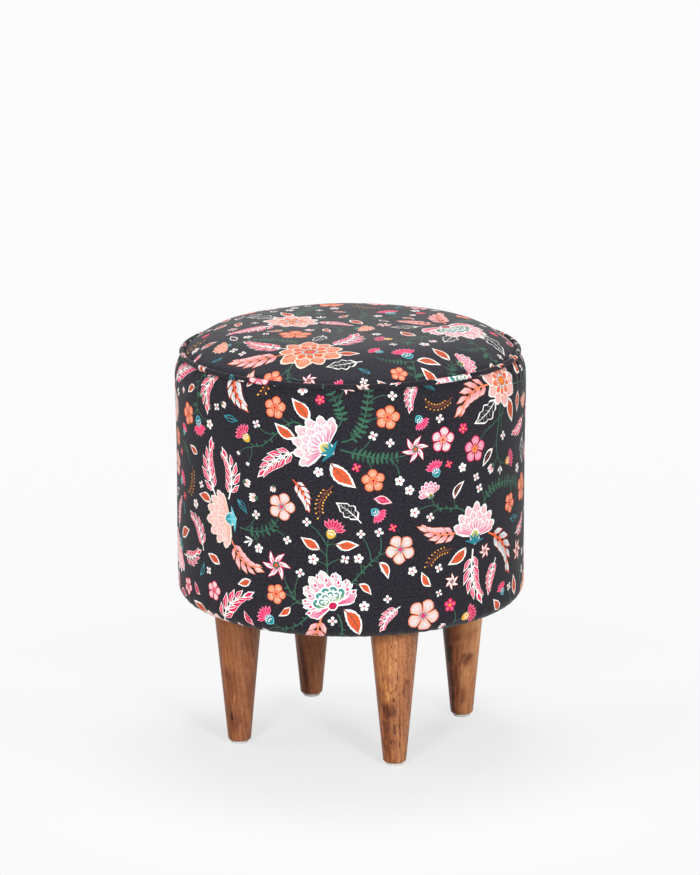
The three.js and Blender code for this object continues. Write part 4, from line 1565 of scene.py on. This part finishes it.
def glideNylon():
    material, tree, shader = newMaterial("glideNylon", {"Roughness": 0.48, "Specular IOR Level": 0.4})
    spot = objectPlace(tree)
    marks = useGroup(tree, speckle, {"Place": spot, "Size": 260.0, "Low": 0.45, "High": 0.7})
    colour = mixColour(tree, marks["Mask"], colourOf(glideShape["colour"]), colourOf(glideShape["scuffed"]))
    tree.links.new(colour, shader.inputs["Base Color"])
    tree.links.new(remap(tree, marks["Mask"], 0.0, 1.0, 0.42, 0.6), shader.inputs["Roughness"])
    bump(tree, shader, marks["Fine"], 0.05 * mm, 0.5)
    return material


def addGlide(place, material):
    low, high, centre = boxOf("glide_" + place)
    foot, top, radius = float(low[2]), float(high[2]), float(high[0] - low[0]) / 2
    rim, hole, recess = glideShape["rim round"], glideShape["hole"], glideShape["recess"]
    ledge = foot + glideShape["recess top"]
    outline = [recess + 1j * foot, (radius + recess) / 2 + 1j * foot]
    outline += arc(radius - rim + 1j * (foot + rim), rim, -90, 0, 6)
    outline += arc(radius - 0.3 + 1j * (top - 0.3), 0.3, 0, 90, 3)
    outline += [hole + 1j * top, hole + 1j * ledge, recess - 0.2 + 1j * ledge, recess + 1j * (ledge - 0.2)]
    glide = spinOutline("glide_" + place + "_moulded", outline, centre, 64)
    finishPiece(glide, material, "glide_plastic", "glide_" + place)


# Foam: the crowned seat pad and the sleeve round the drum, both just inside the cover

padding = {
    "under cover": 2.1,
    "flange gap": 2.2,
    "pore": 900.0,
    "colour": "#efe6c8",
    "aged": "#dfcf9f",
}


def openFoam():
    surface = {"Roughness": 0.95, "Sheen Weight": 0.1, "Specular IOR Level": 0.2}
    material, tree, shader = newMaterial("openFoam", surface)
    spot = objectPlace(tree)
    cells = addNode(tree, "TexVoronoi", {"Vector": spot, "Scale": padding["pore"]}).outputs["Distance"]
    marks = useGroup(tree, speckle, {"Place": spot, "Size": 14.0, "Low": 0.4, "High": 0.65})
    colour = mixColour(tree, marks["Mask"], colourOf(padding["colour"]), colourOf(padding["aged"]))
    # painted shade: the foam is darker in its open pores
    dark = remap(tree, cells, 0.0, 0.6, 0.75, 1.05)
    shade = addNode(tree, "CombineColor", {0: dark, 1: dark, 2: dark}).outputs[0]
    tree.links.new(mixColour(tree, 1.0, colour, shade, "MULTIPLY"), shader.inputs["Base Color"])
    bump(tree, shader, cells, 0.5 * mm, 0.8)
    return material


def insideOf(profile, depth):
    # The profile moved inwards, as points of radius and height
    spot, way = onProfile(profile, np.linspace(0, profile[0][-1], 90))
    return [complex(p) for p in spot + 1j * way * depth]


def addFoam(material):
    depth = padding["under cover"]
    low, high, _ = boxOf("seat_foam")
    neck = cordRing - padding["flange gap"]
    crown = [p for p in insideOf(crownProfile(), -depth) if p.real > 0][:82]
    under, shoulder = float(low[2]), cordHeight - cover["cord"] - 10.5
    side = [p for p in insideOf(sideProfile(), depth) if under + 1 < p.imag < shoulder]
    corner = side[0].real if side else bodyRadius - depth
    outline = [1j * under, corner * 0.5 + 1j * under, corner - 1.5 + 1j * under, corner + 1j * (under + 1)] + side
    outline += [neck + 1j * (shoulder + 1), neck + 1j * (cordHeight - 4)]
    outline += [p for p in crown[::-1] if p.real < neck - 0.5] + [1j * crown[0].imag]
    seat = spinOutline("seatPad", outline, 0j, 128)
    finishPiece(seat, material, "foam", "seat_foam")

    low, high, _ = boxOf("side_foam")
    wall, top = boxOf("drum_wall")[1][0] + 0.3, float(high[2])
    side = [p for p in insideOf(sideProfile(), depth) if p.real > wall and float(low[2]) < p.imag < top - 0.5]
    outline = [wall + 1j * float(low[2])] + side + [side[-1].real + 1j * top, wall + 1j * top]
    sleeve = spinOutline("sidePad", outline, 0j, 128)
    finishPiece(sleeve, material, "foam", "side_foam")
    return seat, sleeve


# Dust cloth: black non-woven, stapled tight under the base with the legs through it

dustSheet = {
    "thickness": 0.45,
    "hole": 4.4,
    "sag": 0.5,
    "crease": 0.12,
    "emboss": 620.0,
    "colour": "#1b1b1e",
    "worn": "#2b2b30",
}


def nonWoven():
    surface = {"Roughness": 0.9, "Sheen Weight": 0.2, "Sheen Roughness": 0.5, "Specular IOR Level": 0.25}
    material, tree, shader = newMaterial("nonWoven", surface)
    spot = objectPlace(tree)
    marks = useGroup(tree, speckle, {"Place": spot, "Size": 60.0, "Low": 0.35, "High": 0.75})
    threads = useGroup(tree, weave, {"Place": spot, "Threads": dustSheet["emboss"], "Uneven": 0.15})
    fibres = noise(tree, spot, 900.0, 4.0, (1, 0.25, 1))
    fade = maths(tree, "MULTIPLY_ADD", fibres, 0.6, maths(tree, "MULTIPLY", marks["Mask"], 0.4))
    colour = mixColour(tree, fade, colourOf(dustSheet["colour"]), colourOf(dustSheet["worn"]))
    tree.links.new(colour, shader.inputs["Base Color"])
    bump(tree, shader, threads["Height"], 0.12 * mm, 0.7)
    return material


def addDustCloth(material):
    low, high, _ = boxOf("dust_cover")
    rim, plane, edge = float(high[0]), float(high[2]), float(low[2]) + 0.1
    bores = [boxOf("hanger_bolt_" + place)[2] for place in legLooks]
    feet = [complex(c) for c in bores]
    spots, links = [], []

    def addLoop(centre, radius, count):
        first = len(spots)
        spots.extend(centre + cmath.rect(radius, fullTurn * k / count) for k in range(count))
        links.extend((first + k, first + (k + 1) % count) for k in range(count))

    addLoop(0j, rim, 288)
    for radius in (legReach() + 1, legReach() + 3.2):
        addLoop(0j, radius, 240)
    for centre in feet:
        addLoop(centre, dustSheet["hole"], 28)
        addLoop(centre, 26.0, 72)
    step = 5.0
    ticks = np.arange(-rim, rim, step)
    grid = [complex(x + step / 2 * (k % 2), y) for k, y in enumerate(ticks) for x in ticks]
    spots += [p for p in grid if abs(p) < rim - 12 and all(abs(p - c) > 28 or 7 < abs(p - c) < 24 for c in feet)]
    found = delaunay_2d_cdt([Vector((p.real, p.imag)) for p in spots], links, [], 0, 0.01, False)
    flatSpots = np.array([complex(p.x, p.y) for p in found[0]])
    faces = np.array([f for f in found[2] if len(f) == 3])
    middles = flatSpots[faces].mean(1)
    keep = abs(middles) < rim
    for centre in feet:
        keep &= abs(middles - centre) > dustSheet["hole"] - 0.05
    used, faces = np.unique(faces[keep], return_inverse=True)
    faces, flatSpots = faces.reshape(-1, 3), flatSpots[used]
    reach, angle = abs(flatSpots), np.angle(flatSpots)
    nearLeg = np.min([abs(flatSpots - c) for c in feet], axis=0)
    free = np.clip((nearLeg - 27) / 30, 0, 1) * np.clip((legReach() - 4 - reach) / 40, 0, 1)
    creases = waves(41, 9, 40, 8)(angle + 0.002 * reach) * np.clip(reach / 150, 0, 1) ** 2
    height = plane - free * dustSheet["sag"] * (1 + 0.4 * waves(42, 2, 6, 4)(angle))
    height -= free * dustSheet["crease"] * (creases + 1)
    share = np.clip((reach - legReach() - 1) / 2.2, 0, 1)
    height = height - (plane - (edge + 0.5)) * share * share * (3 - 2 * share)
    mesh = bpy.data.meshes.new("dustCloth")
    mesh.from_pydata((np.stack([flatSpots.real, flatSpots.imag, height], 1) * mm).tolist(), [], faces.tolist())
    mesh.shade_smooth()
    cloth = bpy.data.objects.new("dustCloth", mesh)
    bpy.context.scene.collection.objects.link(cloth)
    thicken = cloth.modifiers.new("thickness", "SOLIDIFY")
    thicken.thickness = dustSheet["thickness"] * mm
    thicken.offset = -1
    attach(cloth, "root")
    finishPiece(cloth, material, "dust_cloth", "dust_cover")


def legReach():
    # How far the legs' outer edges stand from the middle of the stool
    low, high, centre = boxOf("leg_front_right")
    return abs(centre) + float(high[0] - low[0]) / 2


# Frame and fittings: these keep their solids, and get their finish here

frameLooks = {
    "ply layers": 7,
    "ply thickness": 12.0 * mm,
    "ply face": ("#b98f5d", "#d3ad78", "#e2c392"),
    "ply glue": "#8a6238",
    "board": ("#4c3220", "#6d4a2f", "#83603f"),
    "pine": ("#c79a5e", "#dcb67d", "#ecd0a0"),
    "zinc": ("#a8abad", "#cfd2d4"),
    "zinc tint": "#b9b08a",
}


def woodColour(tree, grain, codes, spread=0.9):
    shade = maths(tree, "MULTIPLY_ADD", grain["Patch"], spread, 0.05)
    shade = maths(tree, "ADD", shade, remap(tree, grain["Grain"], 0.0, 1.0, -0.16, 0.16))
    shade = maths(tree, "ADD", shade, remap(tree, grain["Fibre"], 0.3, 0.7, -0.12, 0.12))
    return ramp(tree, shade, [(k / (len(codes) - 1), colourOf(code)) for k, code in enumerate(codes)])


def plywood():
    material, tree, shader = newMaterial("plywood", {"Roughness": 0.72, "Specular IOR Level": 0.3})
    spot = objectPlace(tree)
    lying = addNode(tree, "Mapping", {"Vector": spot, "Rotation": (0, math.radians(90), 0)}).outputs[0]
    grain = useGroup(tree, wood, {"Place": lying, "Ring": 14.0, "Wander": 0.05, "Seed": 5.2})
    face = woodColour(tree, grain, frameLooks["ply face"])
    axes = addNode(tree, "SeparateXYZ", {0: spot}).outputs
    layer = maths(tree, "MULTIPLY", axes[2], frameLooks["ply layers"] / frameLooks["ply thickness"])
    turn = maths(tree, "MODULO", maths(tree, "FLOOR", layer), 2.0)
    glue = remap(tree, maths(tree, "FRACT", layer), 0.06, 0.0)
    crossed = maths(tree, "MULTIPLY", turn, 0.45)
    edge = mixColour(tree, crossed, face, colourOf(frameLooks["ply glue"]))
    edge = mixColour(tree, glue, edge, colourOf("#4e3219"))
    normal = tree.nodes.new("ShaderNodeNewGeometry").outputs["True Normal"]
    up = addNode(tree, "SeparateXYZ", {0: normal}).outputs[2]
    isEdge = maths(tree, "LESS_THAN", maths(tree, "ABSOLUTE", up), 0.5)
    tree.links.new(mixColour(tree, isEdge, face, edge), shader.inputs["Base Color"])
    bump(tree, shader, grain["Fibre"], 0.15 * mm, 0.7)
    return material


def hardboard():
    material, tree, shader = newMaterial("hardboard", {"Roughness": 0.7, "Specular IOR Level": 0.35})
    marks = useGroup(tree, speckle, {"Place": objectPlace(tree), "Size": 220.0, "Low": 0.3, "High": 0.7})
    stops = [(k / 2, colourOf(code)) for k, code in enumerate(frameLooks["board"])]
    shade = maths(tree, "MULTIPLY_ADD", marks["Fine"], 0.5, maths(tree, "MULTIPLY", marks["Mask"], 0.5))
    tree.links.new(ramp(tree, shade, stops), shader.inputs["Base Color"])
    bump(tree, shader, marks["Fine"], 0.2 * mm, 0.6)
    return material


def pine():
    material, tree, shader = newMaterial("pine", {"Roughness": 0.7, "Specular IOR Level": 0.3})
    grain = useGroup(tree, wood, {"Place": objectPlace(tree), "Ring": 30.0, "Wander": 0.02, "Seed": 8.4})
    tree.links.new(woodColour(tree, grain, frameLooks["pine"]), shader.inputs["Base Color"])
    bump(tree, shader, grain["Fibre"], 0.2 * mm, 0.7)
    return material


def zincSteel():
    material, tree, shader = newMaterial("zincSteel", {"Metallic": 1.0, "Roughness": 0.34})
    spot = objectPlace(tree)
    marks = useGroup(tree, speckle, {"Place": spot, "Size": 320.0, "Low": 0.42, "High": 0.66})
    dark, bright = (colourOf(code) for code in frameLooks["zinc"])
    colour = mixColour(tree, marks["Fine"], dark, bright)
    colour = mixColour(tree, maths(tree, "MULTIPLY", marks["Mask"], 0.35), colour, colourOf(frameLooks["zinc tint"]))
    tree.links.new(colour, shader.inputs["Base Color"])
    tree.links.new(remap(tree, marks["Mask"], 0.0, 1.0, 0.28, 0.46), shader.inputs["Roughness"])
    bump(tree, shader, marks["Fine"], 0.03 * mm, 0.4)
    return material


def finishFrame():
    looks = {
        "seat_board": plywood(), "base_board": bpy.data.materials["plywood"], "drum_wall": hardboard(),
        "post": pine(), "seat_screw": zincSteel(),
    }
    steel = bpy.data.materials["zincSteel"]
    for name in ("base_screw", "hanger_bolt", "tee_nut", "glide_nail", "staple"):
        looks[name] = steel
    for node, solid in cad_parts.items():
        for start, material in looks.items():
            if node.startswith(start):
                solid.data.materials.clear()
                solid.data.materials.append(material)


for place, look in legLooks.items():
    addLeg(place, look)
nylon = glideNylon()
for place in legLooks:
    addGlide(place, nylon)
print("legs turned and glides set")
seatPad, sidePad = addFoam(openFoam())
addDustCloth(nonWoven())
print("foam and dust cloth laid")
finishFrame()
print("frame and fittings finished")
